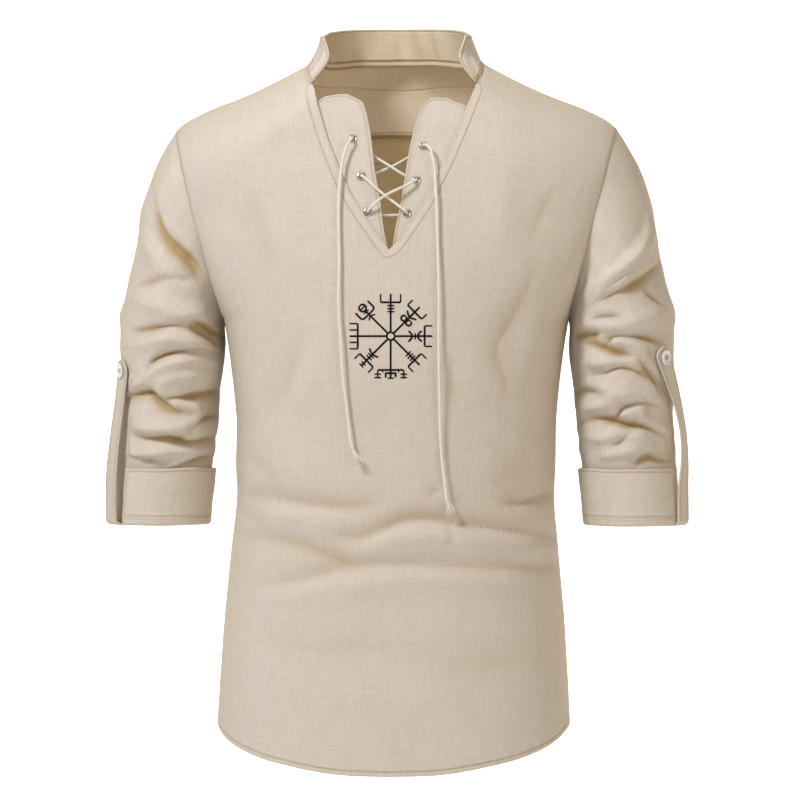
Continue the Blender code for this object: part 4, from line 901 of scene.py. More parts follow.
def panel_grid(edge, hem, rows, back):
    """A front or back panel, whose columns run from the hem up to its upper edge."""
    across = np.linspace(-1, 1, len(edge))
    hem_share = np.sin(across * math.pi / 2)
    hem_z = smooth(np.abs(hem_share), column(hem, 0), column(hem, 1))
    hem_x = hem_share * body_at(hem_z, 1) + body_at(hem_z, 4)
    hem_over = over_height(hem_x, hem_z)
    top_x, top_over = edge[:, 0], edge[:, 1]
    top_z = height_over(top_x, top_over)
    top_share = np.clip((top_x - body_at(top_z, 4)) / body_at(top_z, 1), -1, 1)
    top_share[0], top_share[-1] = -1.0, 1.0
    up = np.asarray(rows)[:, None]
    over = hem_over + (top_over - hem_over) * up
    blend = np.clip((up - 0.35) / 0.65, 0, 1) ** 1.6
    share = hem_share + (top_share - hem_share) * blend
    points = solve_point(share, over, back)
    low_side = points[..., 2] < ARMPIT_Z
    for end in (0, -1):
        gap = HALF_SEAM if back else -HALF_SEAM
        points[:, end, 1] = np.where(low_side[:, end], gap, points[:, end, 1])
    return points


def row_shares(count, near_hem, near_top):
    """Even shares from 0 to 1 with some more close to the two ends."""
    return np.unique(np.concatenate([np.linspace(0, 1, count), near_hem, 1 - np.asarray(near_top)]))


front_edge = front_top_edge()
print("stations on the front's upper edge", len(front_edge))

# %% Folds of the body
FRONT_FOLDS = (
    (-5.0, 8, 0.25, ((243, 495), (269, 498), (316, 506), (352, 508), (380, 503))),
    (4.0, 10, 0.0, ((255, 511), (304, 517), (352, 524))),
    (-6.5, 8, 0.3, ((333, 538), (363, 537), (389, 527), (415, 519), (446, 521), (493, 528), (556, 536))),
    (4.0, 12, 0.0, ((360, 552), (400, 538), (446, 536), (500, 545), (548, 550))),
    (-4.5, 8, 0.3, ((500, 503), (526, 502), (556, 492))),
    (-5.0, 9, 0.3, ((238, 536), (269, 539), (304, 548), (335, 560), (352, 566))),
    (-4.5, 10, 0.25, ((248, 584), (281, 584), (311, 577), (352, 567), (400, 564), (470, 567), (528, 568),
                      (560, 560))),
    (3.0, 14, 0.0, ((262, 598), (320, 592), (400, 580), (470, 582), (530, 584))),
    (-2.2, 6, 0.3, ((429, 496), (436, 492), (441, 488))),
    (-1.8, 5, 0.3, ((448, 522), (451, 535), (453, 548))),
    (-2.2, 6, 0.3, ((241, 511), (250, 519), (262, 529))),
    (-2.4, 15, 0.2, ((270, 418), (289, 379), (305, 338))),
    (1.8, 14, 0.0, ((292, 420), (310, 380), (326, 345))),
    (-2.0, 10, 0.2, ((241, 450), (262, 470), (280, 492))),
    (-2.6, 12, 0.2, ((537, 269), (516, 315), (498, 349), (508, 384), (504, 402))),
    (2.0, 14, 0.0, ((548, 300), (532, 340), (522, 380))),
    (-2.0, 12, 0.2, ((461, 407), (455, 384), (450, 361))),
    (-1.8, 12, 0.2, ((495, 487), (518, 475), (539, 466))),
    (-2.0, 14, 0.2, ((250, 200), (262, 240), (276, 280))),
    (1.8, 16, 0.0, ((276, 190), (292, 240), (304, 290))),
    (-1.8, 14, 0.2, ((556, 190), (540, 220), (528, 250))),
    (1.6, 18, 0.0, ((500, 150), (505, 200), (500, 250))),
    (-1.5, 14, 0.2, ((262, 640), (330, 652), (400, 648))),
    (-1.5, 16, 0.2, ((420, 660), (480, 668), (540, 655))),
    (1.4, 18, 0.0, ((280, 690), (360, 700), (450, 700))),
)
BACK_FOLDS = (
    (-5.0, 10, 0.2, ((-150, -430), (-90, -446), (-20, -450), (60, -438))),
    (-5.0, 10, -0.2, ((150, -424), (100, -452), (30, -470), (-40, -474))),
    (-4.5, 11, 0.2, ((-152, -486), (-80, -500), (20, -506), (110, -494), (154, -478))),
    (4.0, 12, 0.0, ((-140, -466), (-60, -480), (20, -486), (100, -476))),
    (-3.5, 12, 0.0, ((-120, -545), (-20, -548), (90, -538))),
    (-2.2, 14, 0.2, ((-150, -150), (-120, -200), (-100, -260))),
    (-2.2, 14, 0.2, ((150, -150), (122, -205), (104, -255))),
    (1.8, 16, 0.0, ((-60, -120), (-52, -200), (-60, -290))),
    (1.8, 16, 0.0, ((66, -130), (54, -210), (60, -300))),
    (-1.8, 12, 0.2, ((-90, -340), (-30, -356), (30, -352))),
    (-1.8, 14, 0.2, ((-110, -620), (-20, -632), (70, -620))),
)
BODY_LOOKS = (1.4, 1.0, 0.95, 1.2)      # taller, wider, narrower, leaning
BODY_TROUGH = 16.0        # depth at which a body fold has its full painted brown shade
RUMPLE_BODY = 0.9
RUMPLE_BODY_SIZE = 46.0
SIDE_FADE = 30.0          # folds die out this close to the side seams
TOP_FADE = 25.0           # rumples calm down this close to a panel's upper edge


def hem_puckers(points, above, pitch=11.0, depth=0.45):
    """The small waves that a sewn hem pulls into the cloth just above its stitches."""
    wave = np.sin(points[..., 0] * 2 * math.pi / pitch + 1.7 * np.sin(points[..., 0] / 23.0))
    return depth * wave * np.exp(-((above - 5.5) / 4.5) ** 2)


def height_above_hem(points):
    steps = np.linalg.norm(np.diff(points, axis=0), axis=-1)
    return np.concatenate([np.zeros((1, points.shape[1])), np.cumsum(steps, axis=0)], axis=0)


def fold_panel(panel, folds, seed, way, calm=1.0):
    """The panel with folds, rumples and hem puckers, the painted shade of its folds and its heights over the
    hem.
    """
    places, above = panel[..., (0, 2)], height_above_hem(panel)
    side_fade = np.clip(way * panel[..., 1] / SIDE_FADE, 0, 1)
    top_fade = np.clip((above[-1] - above) / TOP_FADE, 0, 1)
    heights = fold_heights(places, bolder(folds, *BODY_LOOKS))
    painted_fold_shade = trough_shade(heights, BODY_TROUGH) * side_fade
    rumples = RUMPLE_BODY * crumple(places, RUMPLE_BODY_SIZE, seed)
    heights = heights + rumples * (calm + (1 - calm) * top_fade)
    heights = heights * side_fade + hem_puckers(panel, above)
    return panel - way * grid_normals(panel) * heights[..., None], painted_fold_shade, above


print("folds on the front and back", len(FRONT_FOLDS), len(BACK_FOLDS))

# %% Cut the front
HEM_STITCH = 4.8
SLIT_STITCH = 9.0
SLIT_EDGE_STITCH = 1.8
NECK_STITCH = 3.0
SHOULDER_STITCH = 2.2
NEAR_HEM = (0.002, 0.005, 0.008, 0.012, 0.016, 0.02)
NEAR_TOP = (0.002, 0.005, 0.009, 0.013)

front = panel_grid(front_edge, HEM_FRONT, row_shares(168, NEAR_HEM, NEAR_TOP), back=False)
front, painted_fold_shade, above = fold_panel(settle(front, ARMPIT_Z), photo_places(FRONT_FOLDS), 2.0, -1, calm=0.35)
slit_from = SHOULDER_RUN + NECK_RUN
slit_to = slit_from + 2 * SLIT_RUN
slit_line = front[-1, slit_from:slit_to + 1]
shoulder_lines = (front[-1, :SHOULDER_RUN + 1], front[-1, -SHOULDER_RUN - 1:])
neck_lines = (front[-1, SHOULDER_RUN:slit_from + 1], front[-1, slit_to:slit_to + NECK_RUN + 1])
inset = off_seams(front, (slit_line, SLIT_STITCH), *((line, SHOULDER_STITCH) for line in shoulder_lines),
                  *((line, NECK_STITCH) for line in neck_lines))
cloth_sheet("front_panel", front, painted_fold_shade, np.minimum(inset, above - HEM_STITCH), CLOTH, "front",
            straight=True)
print("slit edge", round(line_length(slit_line) / 2), "mm on each side")

# %% Cut the back
def yoke_seam_z(x):
    return YOKE_BACK_Z - YOKE_SEAM_DROP * (x / ARMHOLE_X_AT_YOKE) ** 2


back_x = np.linspace(-ARMHOLE_X_AT_YOKE, ARMHOLE_X_AT_YOKE, 133)
back_edge = np.stack([back_x, over_height(back_x, yoke_seam_z(back_x) - HALF_SEAM)], axis=-1)
back = panel_grid(back_edge, HEM_BACK, row_shares(136, NEAR_HEM, NEAR_TOP), back=True)
back, painted_fold_shade, above = fold_panel(settle(back, ARMPIT_Z), BACK_FOLDS, 31.0, 1)
inset = np.minimum(above - HEM_STITCH, off_seams(back, (back[-1], SECOND_ROW)))
# the back's inner side gets the copy of the linen with painted shade
cloth_sheet("back_panel", back, painted_fold_shade, inset, CLOTH, "back", flip=True, inside=back_inside_painted_shade,
            straight=True)

# %% Cut the yoke
YOKE_STITCH = 2.6
YOKE_EDGE_FADE = 14.0
RUMPLE_YOKE = 0.8


def yoke_points(row_count):
    corner = (-NECK_SEAM[5][0] - NECK_EDGE_OUT - CORNER_OUT, -YOKE_FORWARD + HALF_SEAM)
    shoulder = [(-x, -YOKE_FORWARD + HALF_SEAM) for x in SHOULDER_STATIONS] + [corner]
    neck = [(-x - NECK_EDGE_OUT, over) for x, over in NECK_SEAM[4:1:-1]]
    neck += [(-NECK_SEAM[1][0], NECK_SEAM[1][1] + NECK_EDGE_OUT), (0.0, NECK_SEAM[0][1] + NECK_EDGE_OUT)]
    edge = edge_stations(mirrored_parts((shoulder, [corner] + neck)))
    low_x = np.linspace(-ARMHOLE_X_AT_YOKE, ARMHOLE_X_AT_YOKE, len(edge))
    low_z = yoke_seam_z(low_x) + HALF_SEAM
    low_over = over_height(low_x, low_z)
    top_z = height_over(edge[:, 0], np.abs(edge[:, 1]))
    top_share = edge[:, 0] / body_at(top_z, 1)
    low_share = low_x / body_at(low_z, 1)
    for shares in (top_share, low_share):
        shares[0], shares[-1] = -1.0, 1.0
    up = np.linspace(0, 1, row_count)[:, None]
    return signed_point(low_share + (top_share - low_share) * up, low_over + (edge[:, 1] - low_over) * up)


yoke = yoke_points(46)
edge_fade = np.clip(off_seams(yoke, (yoke[0], 0.0), (yoke[-1], 0.0)) / YOKE_EDGE_FADE, 0, 1)
heights = RUMPLE_YOKE * crumple(yoke[..., :2], 42.0, 14.0) * edge_fade
yoke = yoke - grid_normals(yoke) * heights[..., None]
cloth_sheet("yoke_panel", yoke, np.zeros(yoke.shape[:2]),
            off_seams(yoke, (yoke[0], YOKE_STITCH), (yoke[-1], SECOND_ROW)), CLOTH, "yoke", flip=True,
            straight=True)

# %% [markdown]
# ## Collar and neck tape
# A band collar is two layers with a stiff one between them, so it is thicker than a panel and
# keeps a clean edge. It follows the neck seam and stays open in front. Inside, a cotton tape
# with a row of chain stitches covers the seam, and it shows through the open neck.

# %% Collar
COLLAR_TOP = ((0, 75, 52, 0), (28, 69, 51.5, 0), (49, 55, 49.5, 0), (66, 30, 45, 0),
              (75, 2, 38, 0), (76, -20, 34, 2), (75, -36, 33, 6), (72.5, -46, 33, 10))
COLLAR_LIFT = 0.9
COLLAR_CREASE = 1.5       # upright creases where the neck has bent the band
COLLAR_STITCH = 2.4
NECK_TUCK = 2.6           # the collar's lower edge reaches this far under the panels
NECK_TUCK_DOWN = 1.6
NECK_AXIS_Y = 15.0        # the neck's middle lies this far behind the shoulder line
COLLAR_BEND = 0.7
COLLAR_ROUND = 330.0      # its length, for the places of its creases


def neck_line(across):
    """Points on the neck seam, from the right front corner (-1) round the back to the left."""
    seam = along_table(np.abs(across), NECK_SEAM)
    side = np.sign(across)
    share = side * seam[:, 0] / body_at(height_over(seam[:, 0], np.abs(seam[:, 1])), 1)
    return signed_point(share, seam[:, 1])


def collar_points(row_count, column_count):
    across = np.linspace(-1, 1, column_count)
    side = np.sign(across)
    bottom = neck_line(across)
    top = along_table(np.abs(across), COLLAR_TOP)
    rise = np.stack([side * top[:, 0], top[:, 1], top[:, 2]], axis=-1) - bottom
    start = COLLAR_LIFT / np.linalg.norm(rise, axis=-1)
    up = start + (1 - start) * np.linspace(0, 1, row_count)[:, None]
    points = bottom + rise * up[..., None]
    points[..., 0] -= side * top[:, 3] * np.sin(math.pi * up) ** 1.5
    outward = bottom - np.array([0.0, NECK_AXIS_Y, 0.0])
    outward[:, 2] = 0.0
    outward /= np.linalg.norm(outward, axis=-1, keepdims=True)
    points[0] = bottom + outward * NECK_TUCK - np.array([0.0, 0.0, NECK_TUCK_DOWN])
    return points


collar = collar_points(26, 200)
height = collar[..., 2]
wave = COLLAR_BEND * crumple(collar[..., :2] + 0.7 * height[..., None], 34.0, 8.0)
round_the_neck = np.linspace(0, COLLAR_ROUND, collar.shape[1])
bent = crumple(np.stack([round_the_neck + 0.12 * height, 0.3 * height], axis=-1), 17.0, 21.0)
wave += COLLAR_CREASE * bent
collar = collar - grid_normals(collar) * wave[..., None]
inset = off_seams(collar, (collar[-1], 0.0), (collar[0], -0.6), (collar[:, 0], 0.0), (collar[:, -1], 0.0))
# the collar's upright creases get the warm brown painted shade
cloth_sheet("collar_band", collar, np.clip(bent, 0, 1), inset - COLLAR_STITCH, BAND, "collar", flip=True,
            inside=collar_inside_painted_shade)

# %% Neck tape
TAPE_HALF = 4.6
TAPE_INSIDE = 1.9
TAPE_UP = 1.5
TAPE_THICK = 0.7
UP = np.array([0.0, 0.0, 1.0])
across = np.linspace(-0.8, 0.8, 150)
seam_line = neck_line(across)
inward = -seam_line.copy()
inward[:, 2] = 0.0
inward[:, 1] += NECK_AXIS_Y
inward /= np.linalg.norm(inward, axis=-1, keepdims=True)
tape_rise = np.linspace(-TAPE_HALF, TAPE_HALF, 7)
tape = seam_line[None] + inward[None] * TAPE_INSIDE + UP * (tape_rise[:, None, None] + TAPE_UP)
neck_tape = make_mesh("neck_tape", tape, quads(*tape.shape[:2]))
neck_tape.data.materials.append(tape_cotton)
tape_wall = neck_tape.modifiers.new("wall", "SOLIDIFY")
tape_wall.thickness = TAPE_THICK * MM
tape_wall.offset = 0.0
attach(neck_tape, "root")
print("neck tape", round(line_length(tape[3])), "mm")

# %% [markdown]
# ## Eyelet panels
# Behind each edge of the slit lies a doubled strip that carries three metal eyelets. Where an
# eyelet sits, the sheet simply leaves out its faces: the metal flange hides the ragged edge, and
# no cutting is needed.

# %% Eyelet panels
PANEL_TOP_RIGHT_PX = ((363, 101), (360, 96.5), (354, 93), (345, 93), (335, 94), (325.5, 96), (310, 103))
PANEL_TOP_LEFT_PX = ((421.7, 105.5), (427, 98), (432, 97), (438, 97.5), (451, 101), (462, 104), (476, 108))
PANEL_INNER_RIGHT_PX = ((363, 101), (366, 111), (371, 136), (374, 164), (380, 199), (384, 230), (389.5, 257))
PANEL_INNER_LEFT_PX = ((421.7, 105.5), (418, 116), (413.5, 131), (408, 157), (404, 183), (400, 206),
                       (395, 230), (391.5, 257))
PANEL_UNDERLAP = 8.0
PANEL_BEHIND = 2.4
PANEL_TOP_BEHIND = 1.4
PANEL_STITCH = 2.4
EYELETS_RIGHT_PX = ((352.7, 138.0), (361.3, 175.6), (368.0, 211.4))
EYELETS_LEFT_PX = ((423.3, 145.4), (416.6, 179.8), (407.2, 213.0))
EYELET_OUTER = 4.5
EYELET_BORE = 2.3
EYELET_HOLE = 3.3


def panel_points(side, row_count, column_count):
    """One eyelet panel, behind the slit's edge, as seen from the front."""
    right = side < 0
    inner = PANEL_INNER_RIGHT_PX if right else PANEL_INNER_LEFT_PX
    v_edge = V_EDGE_RIGHT_PX if right else V_EDGE_LEFT_PX
    top = PANEL_TOP_RIGHT_PX if right else PANEL_TOP_LEFT_PX
    inner_x, inner_z = from_photo(column(inner, 0), column(inner, 1))
    outer_x, outer_z = from_photo(column(v_edge, 0), column(v_edge, 1))
    _, top_z = from_photo(column(top, 0), column(top, 1))
    low = inner_z.min()
    share = np.linspace(0, 1, column_count)
    up = np.linspace(0, 1, row_count)[:, None]
    arch = smooth(share, np.linspace(0, 1, len(top_z)), top_z)
    z = low + (arch - low) * up
    inside = smooth(z, inner_z[::-1], inner_x[::-1])
    underlap = PANEL_UNDERLAP * np.clip((-z - 22.0) / 50.0, 0.2, 1.0)
    outside = smooth(z, outer_z[::-1], outer_x[::-1]) + side * underlap
    points = body_point_at(inside + (outside - inside) * share, z)
    columns = points[:, ::-1] if right else points
    behind = PANEL_BEHIND + PANEL_TOP_BEHIND * np.clip((columns[..., 2] + 62.0) / 25.0, 0, 1)
    return columns - grid_normals(columns) * behind[..., None]


def eyelet_places(side):
    """Middle and outward direction of each eyelet on one side, on the panel's middle surface."""
    for px, py in EYELETS_RIGHT_PX if side < 0 else EYELETS_LEFT_PX:
        point, normal = chest_point(np.array([px]), np.array([py]), np.array([-PANEL_BEHIND]))
        yield point[0], normal[0]


panels = {}
for side, word in SIDES:
    points = panel_points(side, 110, 34)
    inner_edge = points[:, -1 if side < 0 else 0]
    inset = off_seams(points, (inner_edge, PANEL_STITCH), (points[-1], PANEL_STITCH))
    panels[side] = points
    cloth_sheet(f"eyelet_panel_{word}", points, np.zeros(points.shape[:2]), inset, CLOTH, f"placket_{word}",
                holes=[(point, EYELET_HOLE) for point, _ in eyelet_places(side)])

# %% Turned pieces
def turned_to(outward):
    """The rotation that turns the Z axis into a direction."""
    return np.array(Vector(outward).to_track_quat("Z", "Y").to_matrix())


def lathe(name, profile, steps, place, outward, material):
    """A profile of radius and height turned about a direction, in millimetres."""
    angle = np.linspace(0, 2 * math.pi, steps, endpoint=False)
    radius, height = column(profile, 0), column(profile, 1)
    rings = np.stack([radius[:, None] * np.cos(angle), radius[:, None] * np.sin(angle),
                      height[:, None] + 0 * angle], axis=-1)
    made = make_mesh(name, rings.reshape(-1, 3) @ turned_to(outward).T + place,
                     quads(len(profile), steps, round_about=True))
    made.data.materials.append(material)
    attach(made, "root")
    return made


EYELET_BACK = -1.1
EYELET_NECK = 2.75        # radius of the part that goes through the cloth
FACE = 1.2 / 2 + SEAM_GAP
EYELET_PROFILE = ((EYELET_BORE, EYELET_BACK), (EYELET_BORE, FACE - 0.2), (EYELET_BORE + 0.12, FACE + 0.35),
                  (EYELET_BORE + 0.45, FACE + 0.75), (EYELET_BORE + 0.9, FACE + 0.95),
                  (EYELET_BORE + 1.35, FACE + 0.85), (EYELET_OUTER - 0.35, FACE + 0.5),
                  (EYELET_OUTER - 0.05, FACE + 0.2), (EYELET_OUTER, FACE), (EYELET_NECK, FACE),
                  (EYELET_NECK, EYELET_BACK), (EYELET_BORE, EYELET_BACK))
for side, word in SIDES:
    for number, (point, outward) in enumerate(eyelet_places(side), start=1):
        ring = lathe(f"eyelet_ring_{word}_{number}", EYELET_PROFILE, 40, point, outward, eyelet_nickel)
        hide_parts(f"eyelet_{word}_{number}")
print("eyelets", 6)

# %% [markdown]
# ## Sleeves
# The sleeves are pushed up and crumpled, and that is most of their character. The main folds
# were read from the photograph one by one: a height, a half width, a lean to one side and a
# path. A cloth simulation would crumple too, but never in the same places, so the folds are
# listed one by one and only the small rumples between them come from noise.

# %% Sleeve tables
SLEEVE_SECTIONS = (
    (227.0, -61, 178.9, -254, 65),
    (243.6, -84, 179.2, -258, 67),
    (256.0, -113, 179.0, -263, 69),
    (263.0, -145, 178.2, -269, 70),
    (268.0, -178, 177.4, -276, 70),
    (275.5, -211, 177.4, -285, 69),
    (281.7, -240, 178.4, -296, 68),
    (284.5, -266, 180.5, -309, 67),
    (285.0, -290, 182.5, -324, 66),
    (284.0, -313, 183.5, -340, 65),
    (283.0, -336, 184.6, -356, 63),
    (283.5, -359, 186.2, -373, 61),
    (285.0, -382, 189.0, -390, 58),
    (287.0, -404, 191.5, -408, 55),
    (289.0, -430, 194.0, -431, 52),
    (290.0, -463, 196.5, -463, 50),
)
SLEEVE_START = -1.2
SLEEVE_START_LOW = -1.0
TUCK = 0.9                # how far the sleeve's first rows lie under the edge of the body
ARMHOLE_OUTWARD = (0.97, 0.0, -0.24)
FOLDS_END_ROW = 13.4      # in rows of SLEEVE_SECTIONS
UNDER_TAB = 1.2
SLEEVE_RADIUS = 56.0
TAB_WIDTH = 25.0
TAB_ROUTE_RIGHT = ((33, -297, 3.8), (33, -313, 3.4), (32, -335, 6.5), (32, -365, 10.0), (32, -395, 11.4),
                   (32, -415, 11.4), (31, -440, 10.0), (31, -460, 9.2))
TAB_ROUTE_LEFT = ((46, -284, 5.5), (44, -298, 4.5), (34, -320, 6.5), (22, -345, 9.5), (17, -372, 12.0),
                  (19, -400, 11.5), (24, -425, 9.8), (26, -445, 9.5), (26, -460, 9.2))
SLEEVE_FOLDS_RIGHT = (
    (-5.5, 5, 0.4, ((149, 203), (155, 220), (163, 235), (175, 250), (185, 262), (197, 274), (207, 285),
                    (214, 292), (219, 300), (222, 307), (225, 320), (226, 330))),
    (3.0, 9, 0.0, ((140, 228), (150, 250), (165, 270), (185, 286), (205, 298))),
    (-3.0, 7, 0.3, ((134, 286), (149, 282), (171, 279), (193, 282))),
    (4.5, 9, 0.0, ((130, 297), (156, 305), (185, 317), (207, 308))),
    (-4.0, 7, 0.3, ((126, 332), (151, 329), (176, 326), (189, 323))),
    (-6.0, 6, 0.2, ((189, 321), (205, 326), (216, 332), (222, 340), (222, 350))),
    (-3.5, 5, 0.0, ((189, 323), (193, 329), (202, 334), (214, 342), (222, 350))),
    (5.0, 8, 0.0, ((126, 348), (150, 342), (175, 338), (196, 345), (214, 348))),
    (-6.0, 6, 0.3, ((145, 374), (152, 363), (162, 357), (180, 352), (198, 350), (214, 351))),
    (5.5, 7, 0.0, ((124, 388), (136, 385), (146, 380), (157, 369), (175, 362), (200, 360), (214, 362))),
    (-5.5, 6, 0.2, ((125, 399), (131, 395), (143, 391), (152, 392), (162, 402), (176, 410), (186, 411))),
    (3.5, 7, 0.0, ((158, 385), (178, 378), (200, 376), (216, 373))),
    (-6.0, 6, 0.3, ((164, 398), (185, 397), (200, 394), (214, 389))),
    (5.0, 7, 0.0, ((167, 401), (180, 404), (193, 409), (196, 416), (189, 426), (162, 430), (140, 427),
                   (129, 421))),
    (-5.0, 6, 0.3, ((216, 416), (198, 423), (187, 434))),
    (-6.5, 6, 0.2, ((132, 436), (154, 438), (167, 437), (180, 440), (189, 443), (203, 441), (212, 437))),
    (5.0, 6, 0.0, ((128, 423), (129, 447), (136, 455), (150, 453), (180, 450), (210, 450))),
    (-4.0, 5, 0.2, ((128, 456), (145, 459), (155, 460))),
    (3.0, 5, 0.0, ((167, 469), (180, 463), (198, 454))),
    (-5.0, 5, 0.2, ((173, 470), (189, 462), (207, 456))),
)
SLEEVE_FOLDS_LEFT = (
    (4.0, 8, 0.3, ((646, 212), (646, 231), (638, 248), (626, 263), (609, 278), (594, 291), (581, 307))),
    (-4.0, 5, 0.2, ((650, 226), (642, 250), (626, 272), (606, 290))),
    (3.5, 7, 0.0, ((653, 223), (647, 243), (633, 261), (623, 278), (615, 292))),
    (-4.5, 6, 0.3, ((661, 258), (650, 272), (638, 281), (613, 294), (594, 304))),
    (-3.0, 4, 0.0, ((643, 291), (656, 301), (667, 309))),
    (3.0, 8, 0.0, ((667, 302), (673, 314), (671, 323))),
    (-4.0, 4, 0.0, ((590, 320), (609, 318), (623, 320))),
    (4.0, 9, 0.0, ((665, 312), (640, 322), (605, 328), (578, 324))),
    (-5.0, 6, 0.2, ((574, 335), (587, 337), (601, 334))),
    (-5.0, 5, 0.2, ((607, 344), (612, 338), (627, 338), (646, 340), (660, 343))),
    (5.0, 7, 0.2, ((608, 345), (619, 342), (629, 345), (641, 355), (651, 363), (660, 372), (666, 380),
                   (669, 392), (672, 403))),
    (-5.5, 6, 0.3, ((582, 342), (598, 349), (614, 355), (622, 356), (635, 357))),
    (-4.0, 6, 0.3, ((635, 357), (645, 368), (655, 382), (662, 398))),
    (4.5, 8, 0.0, ((580, 362), (604, 364), (624, 364), (640, 374))),
    (-5.5, 6, 0.2, ((586, 377), (603, 374), (614, 369), (622, 369), (637, 373), (651, 382))),
    (5.0, 8, 0.0, ((583, 384), (603, 387), (614, 393), (632, 397), (665, 401))),
    (-5.0, 5, 0.2, ((577, 391), (589, 392), (601, 396))),
    (5.0, 8, 0.0, ((580, 408), (600, 406), (620, 402))),
    (-5.0, 6, 0.3, ((615, 419), (621, 410), (629, 406), (641, 404), (660, 405))),
    (4.5, 6, 0.0, ((617, 419), (636, 411), (643, 419), (660, 428), (671, 433), (673, 440))),
    (-6.5, 6, 0.2, ((582, 423), (598, 419), (614, 423), (627, 426), (641, 426), (656, 431), (669, 437))),
    (4.0, 6, 0.0, ((586, 436), (604, 438), (622, 434), (648, 438))),
    (-3.0, 6, 0.0, ((612, 448), (622, 438), (636, 431))),
    (3.5, 6, 0.0, ((600, 456), (622, 452), (640, 450))),
    (-5.0, 5, 0.0, ((636, 468), (639, 461), (649, 458), (660, 461), (679, 462))),
)
print("folds on the sleeves", len(SLEEVE_FOLDS_RIGHT), len(SLEEVE_FOLDS_LEFT))

# %% The smooth sleeve
def armhole_ring(angle):
    """The armhole seam of the left side; angle 0 is the shoulder tip and a quarter turn the front."""
    top = SLEEVE_SECTIONS[0][1]
    z = top - (top - ARMPIT_Z) / 2 * (1 - np.cos(angle))
    x = body_at(z, 1)
    over = over_height(x, z)
    depth = np.where(np.sin(angle) >= 0, -body_depth(x, z, over, False), body_depth(x, z, over, True))
    return np.stack([x, depth, z], axis=-1)


def across_ring(rows, outer, inner, angle):
    """Places between a ring's outer and inner ends, which are two columns of a table."""
    middle, reach = (rows[..., outer] + rows[..., inner]) / 2, (rows[..., outer] - rows[..., inner]) / 2
    return middle + reach * np.cos(angle)


def sleeve_form(share, angle):
    """A point of the smooth sleeve: share 0 at the armhole to 1 at the turned edge."""
    rows = along_table(share, SLEEVE_SECTIONS)
    ring = np.stack([across_ring(rows, 0, 2, angle), -rows[..., 4] * np.sin(angle),
                     across_ring(rows, 1, 3, angle)], axis=-1)
    seam_ring = armhole_ring(angle)
    out = SLEEVE_START + (SLEEVE_START_LOW - SLEEVE_START) * (1 - np.cos(angle)) / 2
    seam_ring = seam_ring + out[..., None] * np.array(ARMHOLE_OUTWARD)
    drift = np.clip(share * (len(SLEEVE_SECTIONS) - 1) / 3.0, 0, 1)
    drift = (drift * drift * (3 - 2 * drift))[..., None]
    return seam_ring * (1 - drift) + ring * drift


def unrolled(share, angle):
    """Places for folds: outward along the cloth, and up; the front's middle keeps its place."""
    rows = along_table(share, SLEEVE_SECTIONS)
    half = (rows[..., 0] - rows[..., 2]) / 2
    around = (math.pi / 2 - angle) / (math.pi / 2)
    out = (rows[..., 0] + rows[..., 2]) / 2 + half * (math.pi / 2) * around
    return np.stack([out, across_ring(rows, 1, 3, angle)], axis=-1)


SLEEVE_FRONT_DEPTH = -45.0      # the sleeve's front lies about here


def sleeve_places(table, side):
    """Fold paths of one sleeve from the photograph, turned into places on the unrolled sleeve."""
    trial = np.linspace(0, 1, 301)
    rows = along_table(trial, SLEEVE_SECTIONS)
    nearer = 1 + SLEEVE_FRONT_DEPTH / EYE_DISTANCE
    turned = []
    for height, width, lean, path in table:
        x = (column(path, 0) - PX_CENTRE) * PX_TO_MM * nearer - EYE_TURN * SLEEVE_FRONT_DEPTH
        z = (PX_SHOULDER_LEVEL - column(path, 1)) * PX_TO_MM
        z = (z - EYE_LEVEL) * nearer + EYE_LEVEL
        places = []
        for out, up in zip(side * x, z):
            reach_x = rows[:, 0] - rows[:, 2]
            reach_z = rows[:, 1] - rows[:, 3]
            off = reach_x * (up - rows[:, 3]) - reach_z * (out - rows[:, 2])
            best = int(np.argmin(np.abs(off)))
            middle = (rows[best, 0] + rows[best, 2]) / 2
            across = np.clip((out - middle) / (reach_x[best] / 2), -1.0, 1.0)
            place = unrolled(np.array([trial[best]]), np.array([math.acos(across)]))[0]
            places.append((place[0], place[1]))
        turned.append((height, width, lean, tuple(places)))
    return turned


print("sleeve opening", round(2 * math.pi * 48), "mm round")

# %% Crumple and cut the sleeves
RUMPLE_SLEEVE = 2.0
RUMPLE_SLEEVE_SIZE = 26.0
RUMPLE_SLANT = 0.6        # how far the rumples move round the sleeve as they go up
SLEEVE_LOOKS = (1.75, 1.15, 0.88, 1.6)      # taller, wider, narrower, leaning
SLEEVE_TROUGH = 4.6       # depth at which a sleeve fold has its full painted brown shade
GATHER = 0.5              # height of the small puckers along the armhole seam
GATHERS = 46
GATHER_ROWS = 0.45
TUCK_ROWS = 0.3
BEHIND_TAB = 4.0          # the right sleeve fills out behind its tab
BEHIND_TAB_ANGLE = math.radians(12)
BEHIND_TAB_Z = -395.0
BEHIND_TAB_WIDE, BEHIND_TAB_HIGH = 18.0, 27.0


